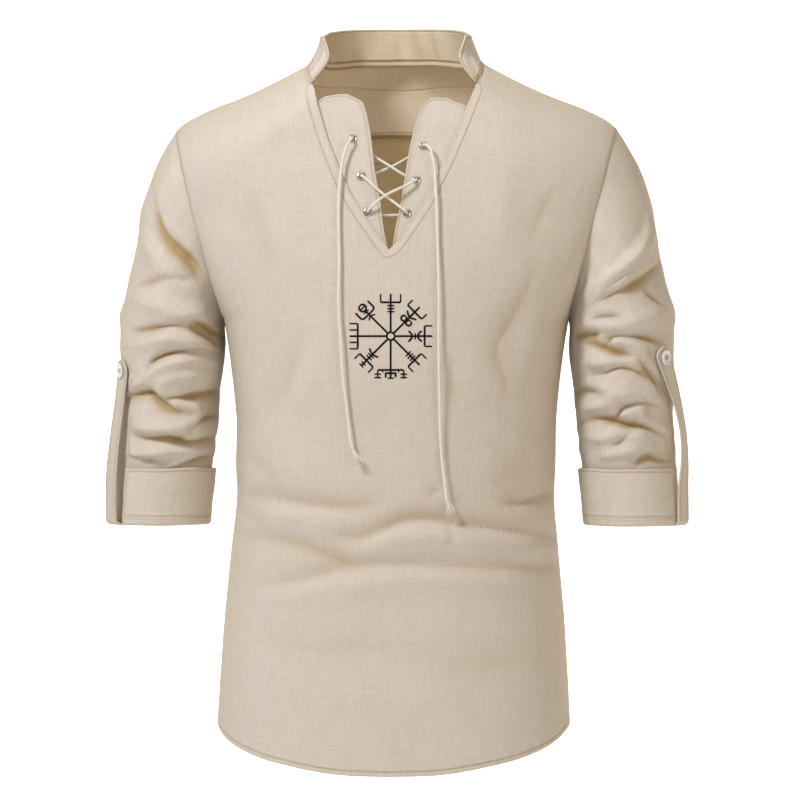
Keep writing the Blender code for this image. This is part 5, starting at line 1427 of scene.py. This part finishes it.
def sleeve_points(side, row_count=165, column_count=190):
    """The crumpled sleeve, rows from the turned edge up to the armhole, and the painted shade of its folds.
    """
    share, turn = np.meshgrid(np.linspace(1, 0, row_count), np.linspace(0, 1, column_count), indexing="ij")
    angle = 2 * math.pi * turn if side < 0 else -2 * math.pi * turn
    points = sleeve_form(share, angle)
    front_angle = np.mod(angle + math.pi / 2, 2 * math.pi) - math.pi / 2
    back_angle = np.mod(-angle + math.pi / 2, 2 * math.pi) - math.pi / 2
    own, other = SLEEVE_FOLDS_LEFT, SLEEVE_FOLDS_RIGHT
    if side < 0:
        own, other = other, own
    heights = fold_heights(unrolled(share, front_angle), bolder(sleeve_places(own, side), *SLEEVE_LOOKS))
    heights += fold_heights(unrolled(share, back_angle), bolder(sleeve_places(other, -side), *SLEEVE_LOOKS))
    heights *= 0.5 + 0.5 * np.abs(np.sin(angle))
    ring = np.stack([np.cos(angle), np.sin(angle)], axis=-1) * SLEEVE_RADIUS
    slanted = np.stack([ring[..., 0] + RUMPLE_SLANT * points[..., 2], ring[..., 1]], axis=-1)
    heights += RUMPLE_SLEEVE * crumple(slanted, RUMPLE_SLEEVE_SIZE, 17.0 + side)
    row_in_table = share * (len(SLEEVE_SECTIONS) - 1)
    heights *= np.clip(row_in_table / 2.0, 0, 1) * np.clip(FOLDS_END_ROW - row_in_table, 0, 1)
    puckers = np.sin(angle * GATHERS + 2 * np.sin(angle * 3))
    heights += GATHER * puckers * np.exp(-(row_in_table / GATHER_ROWS) ** 2)
    heights *= np.clip((points[..., 0] - body_at(points[..., 2], 1) - 1.5) / 10.0, 0, 1)
    route = TAB_ROUTE_RIGHT if side < 0 else TAB_ROUTE_LEFT
    tab_angle = np.radians(smooth(-points[..., 2], -column(route, 1), column(route, 0)))
    off_tab = np.abs(front_angle - tab_angle) * SLEEVE_RADIUS
    beside = np.clip((off_tab - 0.55 * TAB_WIDTH) / 8.0, 0, 1)
    beside = np.where(points[..., 2] < route[0][1] + TAB_WIDTH / 2, beside, 1.0)
    flattened = np.minimum(heights, UNDER_TAB)
    heights = flattened + (heights - flattened) * beside
    if side < 0:
        around = (front_angle - BEHIND_TAB_ANGLE) * SLEEVE_RADIUS / BEHIND_TAB_WIDE
        up = (points[..., 2] - BEHIND_TAB_Z) / BEHIND_TAB_HIGH
        heights += BEHIND_TAB * np.exp(-around ** 2 - up ** 2)
    points[..., 0] *= side
    heights -= TUCK * np.exp(-(row_in_table / TUCK_ROWS) ** 2)
    points = points + grid_normals(points, True) * heights[..., None]
    points[:, -1] = points[:, 0]
    return points, trough_shade(heights, SLEEVE_TROUGH) ** 1.5


for side, word in SIDES:
    points, painted_fold_shade = sleeve_points(side)
    cloth_sheet(f"crumpled_sleeve_{word}", points, painted_fold_shade, np.full(points.shape[:2], NO_STITCH), CLOTH,
                f"sleeve_{word}", closed=True)

# %% [markdown]
# ## Cuffs, tabs and buttons
# The cuff is turned up on the outside and open beside the tab. The tab comes from inside the
# sleeve, folds round the cuff's lower edge and runs up the outside to its button.

# %% Cuffs
CUFF_SECTIONS = ((292.5, 187.5, 59.5, -408), (293.5, 189.0, 58.5, -424), (294.5, 191.0, 57.0, -442),
                 (295.5, 192.5, 56.0, -458), (294.8, 193.6, 55.0, -464.5), (290.5, 197.5, 50.5, -464.9))
CUFF_SLIT_BACK = -24.0
CUFF_SLIT_FRONT = {-1: 49.0, 1: 35.0}
CUFF_HEM_STITCH = 10.0
CUFF_TOP_STITCH = 3.0
CUFF_END_STITCH = 2.6
CUFF_RADIUS = 55.0
CUFF_MIDDLE_X = 240.0
RUMPLE_CUFF = 1.1
CUFF_EDGE_WAVE = 1.6


def cuff_points(side, row_count, column_count):
    start = math.radians(CUFF_SLIT_FRONT[side])
    end = math.radians(CUFF_SLIT_BACK) + 2 * math.pi
    share, angle = np.meshgrid(np.linspace(1, 0, row_count), np.linspace(start, end, column_count),
                               indexing="ij")
    rows = along_table(share, CUFF_SECTIONS)
    points = np.stack([side * across_ring(rows, 0, 1, angle), -rows[..., 2] * np.sin(angle), rows[..., 3]],
                      axis=-1)
    return points if side < 0 else points[:, ::-1]


cuffs = {}
for side, word in SIDES:
    points = cuff_points(side, 40, 150)
    free = np.linspace(0, 1, points.shape[0])[:, None] ** 0.7
    round_the_arm = np.arctan2(points[..., 1], np.abs(points[..., 0]) - CUFF_MIDDLE_X) * CUFF_RADIUS
    wave = crumple(np.stack([round_the_arm, points[..., 2]], axis=-1), 30.0, 40.0 + side)
    points = points + grid_normals(points) * (RUMPLE_CUFF * wave * free)[..., None]
    points[..., 2] += CUFF_EDGE_WAVE * crumple(points[..., :2], 60.0, 50.0 + side, sharp=0.0) * free
    inset = off_seams(points, (points[0], CUFF_HEM_STITCH), (points[-1], CUFF_TOP_STITCH),
                      (points[:, 0], CUFF_END_STITCH), (points[:, -1], CUFF_END_STITCH))
    cuffs[side] = points
    cloth_sheet(f"turned_cuff_{word}", points, np.zeros(points.shape[:2]), inset, BAND, f"cuff_{word}")

# %% Roll tabs
TAB_FOLD_RADIUS = 5.0
TAB_STITCH = 2.4
BUTTON_RADIUS = 7.5
BUTTON_THICK = 2.6
BUTTON_FROM_END = 11.0


def sleeve_place(angle, z):
    """The smooth sleeve's point and outward direction at an angle and a height."""
    trial = np.linspace(0, 1, 601)
    heights = sleeve_form(trial, np.full(601, angle))[:, 2]
    share = np.array([trial[int(np.argmin(np.abs(heights - z)))]])
    point = sleeve_form(share, np.array([angle]))[0]
    ahead = sleeve_form(share, np.array([angle + 0.02]))[0] - point
    ahead[2] = 0.0
    ahead /= np.linalg.norm(ahead)
    outward = np.array([-ahead[1], ahead[0], 0.0])
    if outward @ np.array([math.cos(angle), -math.sin(angle), 0.0]) < 0:
        outward = -outward
    return point, ahead, outward


def tab_frame(side, steps=60):
    """Middle line, width directions and outward directions of one roll tab."""
    route = TAB_ROUTE_RIGHT if side < 0 else TAB_ROUTE_LEFT
    middle, widthways = [], []
    for degrees, z, away in along_table(np.linspace(0, 1, steps), route):
        point, ahead, outward = sleeve_place(math.radians(degrees), z)
        middle.append(np.array([point[0], point[1], z]) + outward * away)
        widthways.append(ahead)
    inward = -outward
    last = middle[-1]
    for turn in range(10, 91, 10):
        a = math.radians(turn)
        middle.append(last + inward * TAB_FOLD_RADIUS * (1 - math.cos(a))
                      + np.array([0, 0, -TAB_FOLD_RADIUS * math.sin(a)]))
        widthways.append(widthways[-1])
    for reach in (3.0, 3.0, 4.0, 6.0):
        middle.append(middle[-1] + inward * reach + np.array([0, 0, 0.1]))
        widthways.append(widthways[-1])
    middle, widthways = np.array(middle), np.array(widthways)
    outwards = np.cross(np.gradient(middle, axis=0), widthways)
    outwards /= np.linalg.norm(outwards, axis=-1, keepdims=True)
    if outwards[0] @ np.array([1.0, 0, 0]) < 0:
        outwards = -outwards
    for array in (middle, widthways, outwards):
        array[:, 0] *= side
    return middle, widthways, outwards


tabs = {}
for side, word in SIDES:
    middle, widthways, outwards = tab_frame(side)
    run = run_along(middle)
    radius = TAB_WIDTH / 2
    half = np.sqrt(np.clip(radius**2 - np.clip(radius - run, 0, radius) ** 2, 4.0, None))
    spread = np.linspace(-1, 1, 19)
    points = middle[:, None] + widthways[:, None] * (half[:, None] * spread)[..., None]
    inset = off_seams(points, *((edge, TAB_STITCH) for edge in (points[0], points[:, 0], points[:, -1])))
    tabs[side] = points
    cloth_sheet(f"roll_tab_{word}", points, np.zeros(points.shape[:2]), inset, BAND, f"tab_{word}",
                flip=side < 0)

# %% Buttons
DISH = BUTTON_THICK * 0.58      # height of the sunk middle
BUTTON_PROFILE = ((0.01, 0.0), (BUTTON_RADIUS * 0.80, 0.0), (BUTTON_RADIUS * 0.93, 0.35),
                  (BUTTON_RADIUS, BUTTON_THICK * 0.55), (BUTTON_RADIUS * 0.97, BUTTON_THICK * 0.82),
                  (BUTTON_RADIUS * 0.9, BUTTON_THICK), (BUTTON_RADIUS * 0.8, BUTTON_THICK * 0.98),
                  (BUTTON_RADIUS * 0.7, BUTTON_THICK * 0.75), (BUTTON_RADIUS * 0.62, BUTTON_THICK * 0.62),
                  (BUTTON_RADIUS * 0.3, DISH), (0.01, DISH))
HOLE_PLACES = ((1, 1), (-1, 1), (-1, -1), (1, -1))
HOLE_OFF = 1.5
HOLE_RADIUS = 0.95


def dark_holes(name, place, outward):
    """Four small dark discs of painted shade that read as the button's holes; its sewing thread is laid
    across them further on.
    """
    points, faces = [], []
    for x, y in HOLE_PLACES:
        begin = len(points)
        for k in range(12):
            a = 2 * math.pi * k / 12
            points.append((x * HOLE_OFF + HOLE_RADIUS * math.cos(a), y * HOLE_OFF + HOLE_RADIUS * math.sin(a),
                           DISH + 0.06))
        faces.append(tuple(range(begin, begin + 12)))
    made = make_mesh(name, np.array(points) @ turned_to(outward).T + place, faces)
    made.data.materials.append(hole_shade)
    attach(made, "root")
    return made


# painted shade: the hole discs are coloured dark, mottled by noise
hole_shade, g, shader = new_material("button_hole_shade")
painted_hole_mottle = g.add("ShaderNodeTexNoise", {"Vector": g.add("ShaderNodeTexCoord", out=3), "Scale": 700.0})
g.link(g.mix(painted_hole_mottle, (0.16, 0.14, 0.12, 1.0), (0.30, 0.27, 0.24, 1.0)), shader.inputs["Base Color"])
shader.inputs["Roughness"].default_value = 0.8
button_axes = {}
for side, word in SIDES:
    middle, _, outwards = tab_frame(side)
    run = run_along(middle)
    place, outward = read_at(BUTTON_FROM_END, run, middle), read_at(BUTTON_FROM_END, run, outwards)
    outward /= np.linalg.norm(outward)
    place = place + outward * (BAND / 2 + SEAM_GAP)
    button_axes[side] = (place, outward)
    disc = lathe(f"shirt_button_{word}", BUTTON_PROFILE, 48, place, outward, button_resin)
    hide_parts(f"button_{word}")
    dark_holes(f"painted_hole_shade_{word}", place, outward)
print("buttons at", [np.round(axis[0]) for axis in button_axes.values()])

# %% [markdown]
# ## Sewing
# Stitches are what make a cut sheet look sewn. Each one is a short thread with narrow ends that
# lies in the groove of its seam, so a seam is a line that is dropped onto the sheet, cut into
# even steps and dressed with stitches. All stitches of one colour are one mesh.

# %% Stitch helpers
STITCH_PITCH = 2.7
STITCH_LONG = 2.0
STITCH_THICK = 0.26
sewn = {"points": {}, "faces": {}}


def on_sheet(sheet, points, lift):
    """Drops points onto a sheet's middle surface and lifts them off it."""
    tree = rest_sheets[sheet]
    places, normals = [], []
    for point in points:
        place, normal, _, _ = tree.find_nearest(Vector(point))
        places.append(np.array(place + normal * lift))
        normals.append(np.array(normal))
    return np.array(places), np.array(normals)


def even_line(points, spacing):
    run = run_along(points)
    return read_at(np.arange(0, run[-1], spacing), run, points)


def add_stitch(kind, start, end, up, thick):
    """A thread from start to end: eight-cornered in the middle, pointed at both ends."""
    points = sewn["points"].setdefault(kind, [])
    faces = sewn["faces"].setdefault(kind, [])
    along = end - start
    side = np.cross(along, up)
    side /= max(np.linalg.norm(side), 1e-9)
    begin = len(points)
    for f, size, rise in ((0.0, 0.35, -0.5), (0.25, 0.95, 0.3), (0.75, 0.95, 0.3), (1.0, 0.35, -0.5)):
        for across, high in ((-1, 0), (0, 1), (1, 0), (0, -1)):
            points.append(start + along * f + side * across * thick * size
                          + up * (high * thick * size + rise * thick))
    faces.extend(tube_faces(4, 4, begin))


def seam(kind, sheet, line, thickness):
    """A row of stitches along a line on a sheet."""
    places, normals = on_sheet(sheet, even_line(np.asarray(line), STITCH_PITCH), thickness / 2)
    for here, ahead, normal in zip(places, places[1:], normals):
        add_stitch(kind, here, here + (ahead - here) * (STITCH_LONG / STITCH_PITCH), normal, STITCH_THICK)


def along_grid(points, distance, from_top=False):
    """The line at one distance from a grid's lowest or highest row."""
    grid = points[::-1] if from_top else points
    above = height_above_hem(grid)
    line = []
    for c in range(points.shape[1]):
        line.append([np.interp(distance, above[:, c], grid[:, c, k]) for k in range(3)])
    return np.array(line)


def beside(line, normal, distance):
    """A line moved sideways within the cloth."""
    tangents = np.gradient(line, axis=0)
    sideways = np.cross(normal, tangents)
    sideways /= np.linalg.norm(sideways, axis=-1, keepdims=True)
    return line + sideways * distance


print("stitch pitch", STITCH_PITCH, "mm")

# %% Sew the body
seam("hem", "front_panel", along_grid(front, HEM_STITCH)[3:-3], CLOTH)
seam("hem", "back_panel", along_grid(back, HEM_STITCH)[3:-3], CLOTH)
out_of_chest = np.array([0.0, -1.0, 0.2])
down_the_front = np.array([0.0, -0.75, -0.65])
for line, way in ((slit_line[:SLIT_RUN + 1], -1.0), (slit_line[SLIT_RUN:][::-1], 1.0)):
    for distance in (SLIT_EDGE_STITCH, SLIT_STITCH):
        seam("pale", "front_panel", beside(line, out_of_chest, way * distance)[2:-1], CLOTH)
for line in shoulder_lines:
    seam("pale", "front_panel", line + down_the_front * SHOULDER_STITCH, CLOTH)
seam("pale", "yoke_panel", along_grid(yoke, YOKE_STITCH)[2:-2], CLOTH)
for side, word, number in ((1, "left", 3), (-1, "right", -4)):
    seam("pale", f"eyelet_panel_{word}", panels[side][:, number], CLOTH)
print("stitches so far", {kind: len(points) // 16 for kind, points in sewn["points"].items()})

# %% Sew collar, cuffs and tabs
seam("pale", "collar_band", along_grid(collar, COLLAR_STITCH, from_top=True)[3:-3], BAND)
seam("pale", "collar_band", along_grid(collar, COLLAR_STITCH)[3:-3], BAND)
for end in (2, -3):
    seam("pale", "collar_band", collar[:, end], BAND)
for side, word in SIDES:
    sheet = f"turned_cuff_{word}"
    seam("hem", sheet, along_grid(cuffs[side], CUFF_HEM_STITCH)[2:-2], BAND)
    seam("pale", sheet, along_grid(cuffs[side], CUFF_TOP_STITCH, from_top=True)[2:-2], BAND)
    for end in (2, -3):
        seam("pale", sheet, cuffs[side][4:, end], BAND)
    sheet = f"roll_tab_{word}"
    for end in (2, -3):
        seam("pale", sheet, tabs[side][6:62, end], BAND)
    seam("pale", sheet, tabs[side][2, 3:-3], BAND)
print("stitches now", {kind: len(points) // 16 for kind, points in sewn["points"].items()})

# %% Chain stitches on the neck tape
CHAIN_PITCH = 3.4
CHAIN_HALF = 1.15
CHAIN_THREAD = 0.62
OVERLOCK_PITCH = 2.2      # the stitches over the raw edge of the yoke's seam
ABOVE_TAPE = 0.6
ABOVE_OVERLOCK = 1.7


def chain(line, outward, pitch):
    """Open loops, one after the other, as a chain stitch makes, facing one way at each of them."""
    fine = even_line(line, pitch)
    for here, ahead, facing in zip(fine, fine[1:], outward):
        for way in (-1, 1):
            middle = here + (ahead - here) * 0.5 + UP * way * CHAIN_HALF
            add_stitch("tape", here, middle, facing, CHAIN_THREAD)
            add_stitch("tape", middle, ahead, facing, CHAIN_THREAD)


tape_front = tape + inward[None] * ABOVE_TAPE
for row in (1, 5):
    line = tape_front[row]
    at = np.linspace(0, len(line) - 1, len(even_line(line, CHAIN_PITCH))).astype(int)
    chain(line, inward[at], CHAIN_PITCH)
into_shirt = np.array([0.0, -1.0, 0.0])
overlock = back[-1, 30:-30] + into_shirt * ABOVE_OVERLOCK
for drop in (0.2, 1.6):
    line = overlock - UP * drop
    chain(line, np.tile(into_shirt, (len(even_line(line, OVERLOCK_PITCH)), 1)), OVERLOCK_PITCH)
print("chain stitches", len(sewn["points"]["tape"]) // 64)

# %% Thread on the buttons
for side in (-1, 1):
    place, outward = button_axes[side]
    turn = turned_to(outward)
    for start, end in (((1, 1), (-1, -1)), ((-1, 1), (1, -1))):
        for shift in (-0.22, 0.0, 0.22):
            ends = [np.array((x * HOLE_OFF + shift, y * HOLE_OFF - shift * x * y, DISH + 0.3))
                    for x, y in (start, end)]
            add_stitch("pale", turn @ ends[0] + place, turn @ ends[1] + place, outward, 0.2)
print("button thread laid")

# %% The eight-armed stave
# A traditional compass of staves is sewn on the chest in black. Each arm is a row of simple
# marks along it, given in photograph pixels from the middle: out along the arm, then across.
STAVE_CENTRE = (390.8, 336.3)
STAVE_WIDE = 1.05         # half width of a sewn stroke
STAVE_NARROW = 0.82       # the same for the short marks
SHORT_MARK = 12.0
STAVE_PROUD = 0.55


def bar(out, half):
    return ((out, -half), (out, half))


def spoke(start, end, across=0.0):
    return ((start, across), (end, across))


def bow(out, half, bulge, steps=9):
    """An arc across the arm whose middle bulges outwards, or inwards if bulge is negative."""
    return tuple((out + bulge * math.cos(math.pi / 2 * t), half * t) for t in np.linspace(-1, 1, steps))


def loop(out, radius, across=0.0, steps=17):
    return tuple((out + radius * math.cos(a), across + radius * math.sin(a))
                 for a in np.linspace(0, 2 * math.pi, steps))


def fork(out, half, tip, tines):
    return [bar(out, half)] + [spoke(out, tip, across) for across in tines]


STAVE_ARMS = {
    90: [spoke(4, 42.5), bar(30.5, 3.7), bar(27.5, 3.7), bar(24.5, 3.7)] + fork(33.8, 10, 42.5, (-10, 10)),
    45: [spoke(4, 41.5), bow(30, 6.5, -3), loop(22, 2.7, -3.4), loop(22, 2.7, 3.4)]
        + fork(34, 10, 41.5, (-10, 10)),
    0: [spoke(4, 42), bow(17.5, 5.5, 4), bar(24.5, 3.5), bow(31.3, 5.5, -4.2)]
       + fork(34, 10.3, 42, (-10.3, 10.3)),
    -45: [spoke(4, 41), bar(31, 4), bar(28, 4), bar(25, 4)] + fork(33.8, 9.3, 41.5, (-9.3, 9.3)),
    -90: [spoke(4, 42), bar(42, 3.2), spoke(33.8, 36.5, -8), spoke(33.8, 36.5, 8),
          ((41.5, -5), (37, -5), (37, 5), (41.5, 5))] + fork(33.8, 13, 42.5, (-13, 13))
         + [((38 + d, side * 13 - 3.4), (38 + d, side * 13 + 3.4)) for side in (-1, 1) for d in (0, 3.5)],
    -135: [spoke(4, 42.5), bar(38.5, 3), bar(41.5, 3), bar(30.5, 4), bar(27.8, 4), bow(23.5, 6.5, 2.2)]
          + fork(34.3, 9.7, 42, (-9.7, 9.7)),
    180: [spoke(4, 41.5)] + fork(33, 12.6, 41.5, (-12.6, -6.2, 6.2, 12.6)),
    135: [spoke(4, 36), loop(39.8, 3.6), bar(39.8, 3.6), bar(34.5, 3.2), bow(26, 4.5, 2.5),
          ((41.5, -8.6), (33.5, -8.8), (31.5, -7.6), (31, -5), (31, 5), (31.5, 7.6), (33.5, 8.8),
           (41.5, 8.6))],
}
print("stave marks", sum(len(marks) for marks in STAVE_ARMS.values()))

# %% [markdown]
# ## Embroidery on the chest
# Satin stitch is thread laid side by side across a stroke, so each stroke stands proud with a
# rounded top and fine lines across it. Every stroke is a low rounded ribbon that is dropped onto
# the front, which makes it follow the folds, and its rings alternate in height for the threads.

# %% Lay the strokes
THREAD_STEP = 0.42


def satin_stroke(path):
    """A rounded ribbon along a path of photograph pixels, with a ridge for each thread."""
    path = np.array(path, float)
    x, z = from_photo(path[:, 0], path[:, 1])
    rough = body_point_at(x, z)
    fine = even_line(rough, THREAD_STEP)
    if len(fine) < 4:
        return [], []
    places, normals = on_sheet("front_panel", fine, CLOTH / 2)
    tangents = np.gradient(places, axis=0)
    sideways = np.cross(normals, tangents)
    sideways /= np.linalg.norm(sideways, axis=-1, keepdims=True)
    profile = ((-1.0, -0.25), (-0.8, 0.55), (-0.3, 0.95), (0.3, 0.95), (0.8, 0.55), (1.0, -0.25))
    wide = STAVE_WIDE if line_length(fine) > SHORT_MARK else STAVE_NARROW
    points = []
    last = len(places) - 1
    for k, place in enumerate(places):
        ridge = 1.0 if k % 2 else 0.78
        taper = math.sqrt(min(1.0, (min(k, last - k) + 0.6) / 2.6))
        for across, high in profile:
            points.append(place + sideways[k] * across * wide * taper * (0.97 + 0.05 * (k % 3))
                          + normals[k] * high * STAVE_PROUD * ridge)
    return points, tube_faces(len(places), len(profile))


def in_photo(angle, out, across):
    a = math.radians(angle)
    return (STAVE_CENTRE[0] + out * math.cos(a) - across * math.sin(a),
            STAVE_CENTRE[1] - out * math.sin(a) - across * math.cos(a))


strokes = [[(STAVE_CENTRE[0] + x, STAVE_CENTRE[1] + y) for x, y in loop(0, 4.0)]]
for angle, marks in STAVE_ARMS.items():
    strokes += [[in_photo(angle, out, across) for out, across in mark] for mark in marks]
points, faces = [], []
for stroke in strokes:
    new_points, new_faces = satin_stroke(stroke)
    faces += [tuple(len(points) + corner for corner in face) for face in new_faces]
    points += new_points
stave = make_mesh("chest_embroidery", np.array(points), faces)
stave.data.materials.append(black_thread)
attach(stave, "root")
print("embroidery faces", len(faces))

# %% Gather the stitches into meshes
for kind, material in (("hem", seam_thread), ("pale", pale_thread), ("tape", seam_thread)):
    threads_made = make_mesh(f"stitches_{kind}", np.array(sewn["points"][kind]), sewn["faces"][kind])
    threads_made.data.materials.append(material)
    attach(threads_made, "root")
    print("stitches", kind, len(sewn["points"][kind]) // 16)

# %% [markdown]


# %% [markdown]
# ## Studio
# A pale floor runs up into a pale wall without a corner, so nothing but the shirt has an edge.
# The main light is high and to the left, which gives the folds their shaded sides, and a weaker,
# warmer one fills from the right. Thin linen lets light through, so two small lights at the neck
# stand in for that glow. A person wearing the shirt would stand on this floor.

# %% Floor and wall
FLOOR_Z = -1450.0
WALL_Y = 4800.0
SWEEP_RADIUS = 900.0
HALF_ROOM = 7500.0
FLOOR_FRONT_Y = -1900.0
WALL_TOP_Z = 5200.0
FLOOR_PAINT_UP_TO = FLOOR_Z + 60.0
PAINT_DARK = (0.93, 0.93, 0.93, 1.0)
PAINT_LIGHT = (0.95, 0.95, 0.95, 1.0)
profile = [(FLOOR_FRONT_Y, FLOOR_Z), (WALL_Y - SWEEP_RADIUS, FLOOR_Z)]
for turn in range(9, 91, 9):
    a = math.radians(turn)
    profile.append((WALL_Y - SWEEP_RADIUS + SWEEP_RADIUS * math.sin(a),
                    FLOOR_Z + SWEEP_RADIUS * (1 - math.cos(a))))
profile.append((WALL_Y, WALL_TOP_Z))
sweep = np.array([[(x, y, z) for x in (-HALF_ROOM, HALF_ROOM)] for y, z in profile])
floor = make_mesh("studio_floor", sweep, quads(len(profile), 2))
for name, glow in (("studio_floor_paint", 0.25), ("studio_wall_paint", 0.9)):
    paint, g, shader = new_material(name)
    grain = g.add("ShaderNodeTexNoise", {"Vector": g.add("ShaderNodeTexCoord", out=3), "Scale": 3.0})
    g.link(g.mix(grain, PAINT_DARK, PAINT_LIGHT), shader.inputs["Base Color"])
    shader.inputs["Roughness"].default_value = 0.95
    shader.inputs["Emission Color"].default_value = (1.0, 1.0, 1.0, 1.0)
    shader.inputs["Emission Strength"].default_value = glow
    floor.data.materials.append(paint)
for face in floor.data.polygons:
    face.material_index = 0 if face.center.z < FLOOR_PAINT_UP_TO * MM else 1
print("floor", FLOOR_Z, "mm below the shoulders")

# %% Lights
WHITE = (1.0, 1.0, 1.0)
WARM = (1.0, 0.85, 0.66)
CHEST = (0.0, 0.0, -0.35)      # in metres, like every place in this cell


def soft_light(name, place, power, width, colour=WHITE, aim=CHEST):
    """A square soft box that looks at the chest, or where it is told."""
    data = bpy.data.lights.new(name, "AREA")
    data.energy = power
    data.size = width
    data.color = colour
    made = bpy.data.objects.new(name, data)
    made.location = Vector(place)
    made.rotation_euler = (Vector(aim) - Vector(place)).to_track_quat("-Z", "Y").to_euler()
    bpy.context.scene.collection.objects.link(made)
    return made


soft_light("key_light", (-1.8, -2.1, 2.1), 91.0, 0.7)
soft_light("fill_light", (2.4, -2.4, 0.5), 22.0, 1.6, WARM)
soft_light("neck_light", (0.0, -0.2, 0.42), 0.6, 0.25, aim=(0.0, 0.04, -0.02))
inside_light = soft_light("inside_light", (0.0, -0.035, -0.12), 0.035, 0.1, WARM, aim=(0.0, 0.085, -0.05))
inside_light.visible_camera = False
world = bpy.data.worlds.new("studio_air")
world.use_nodes = True
air = world.node_tree.nodes["Background"].inputs
air["Color"].default_value = (*WARM, 1.0)
air["Strength"].default_value = 0.32
bpy.context.scene.world = world
bpy.context.scene.view_settings.view_transform = "Standard"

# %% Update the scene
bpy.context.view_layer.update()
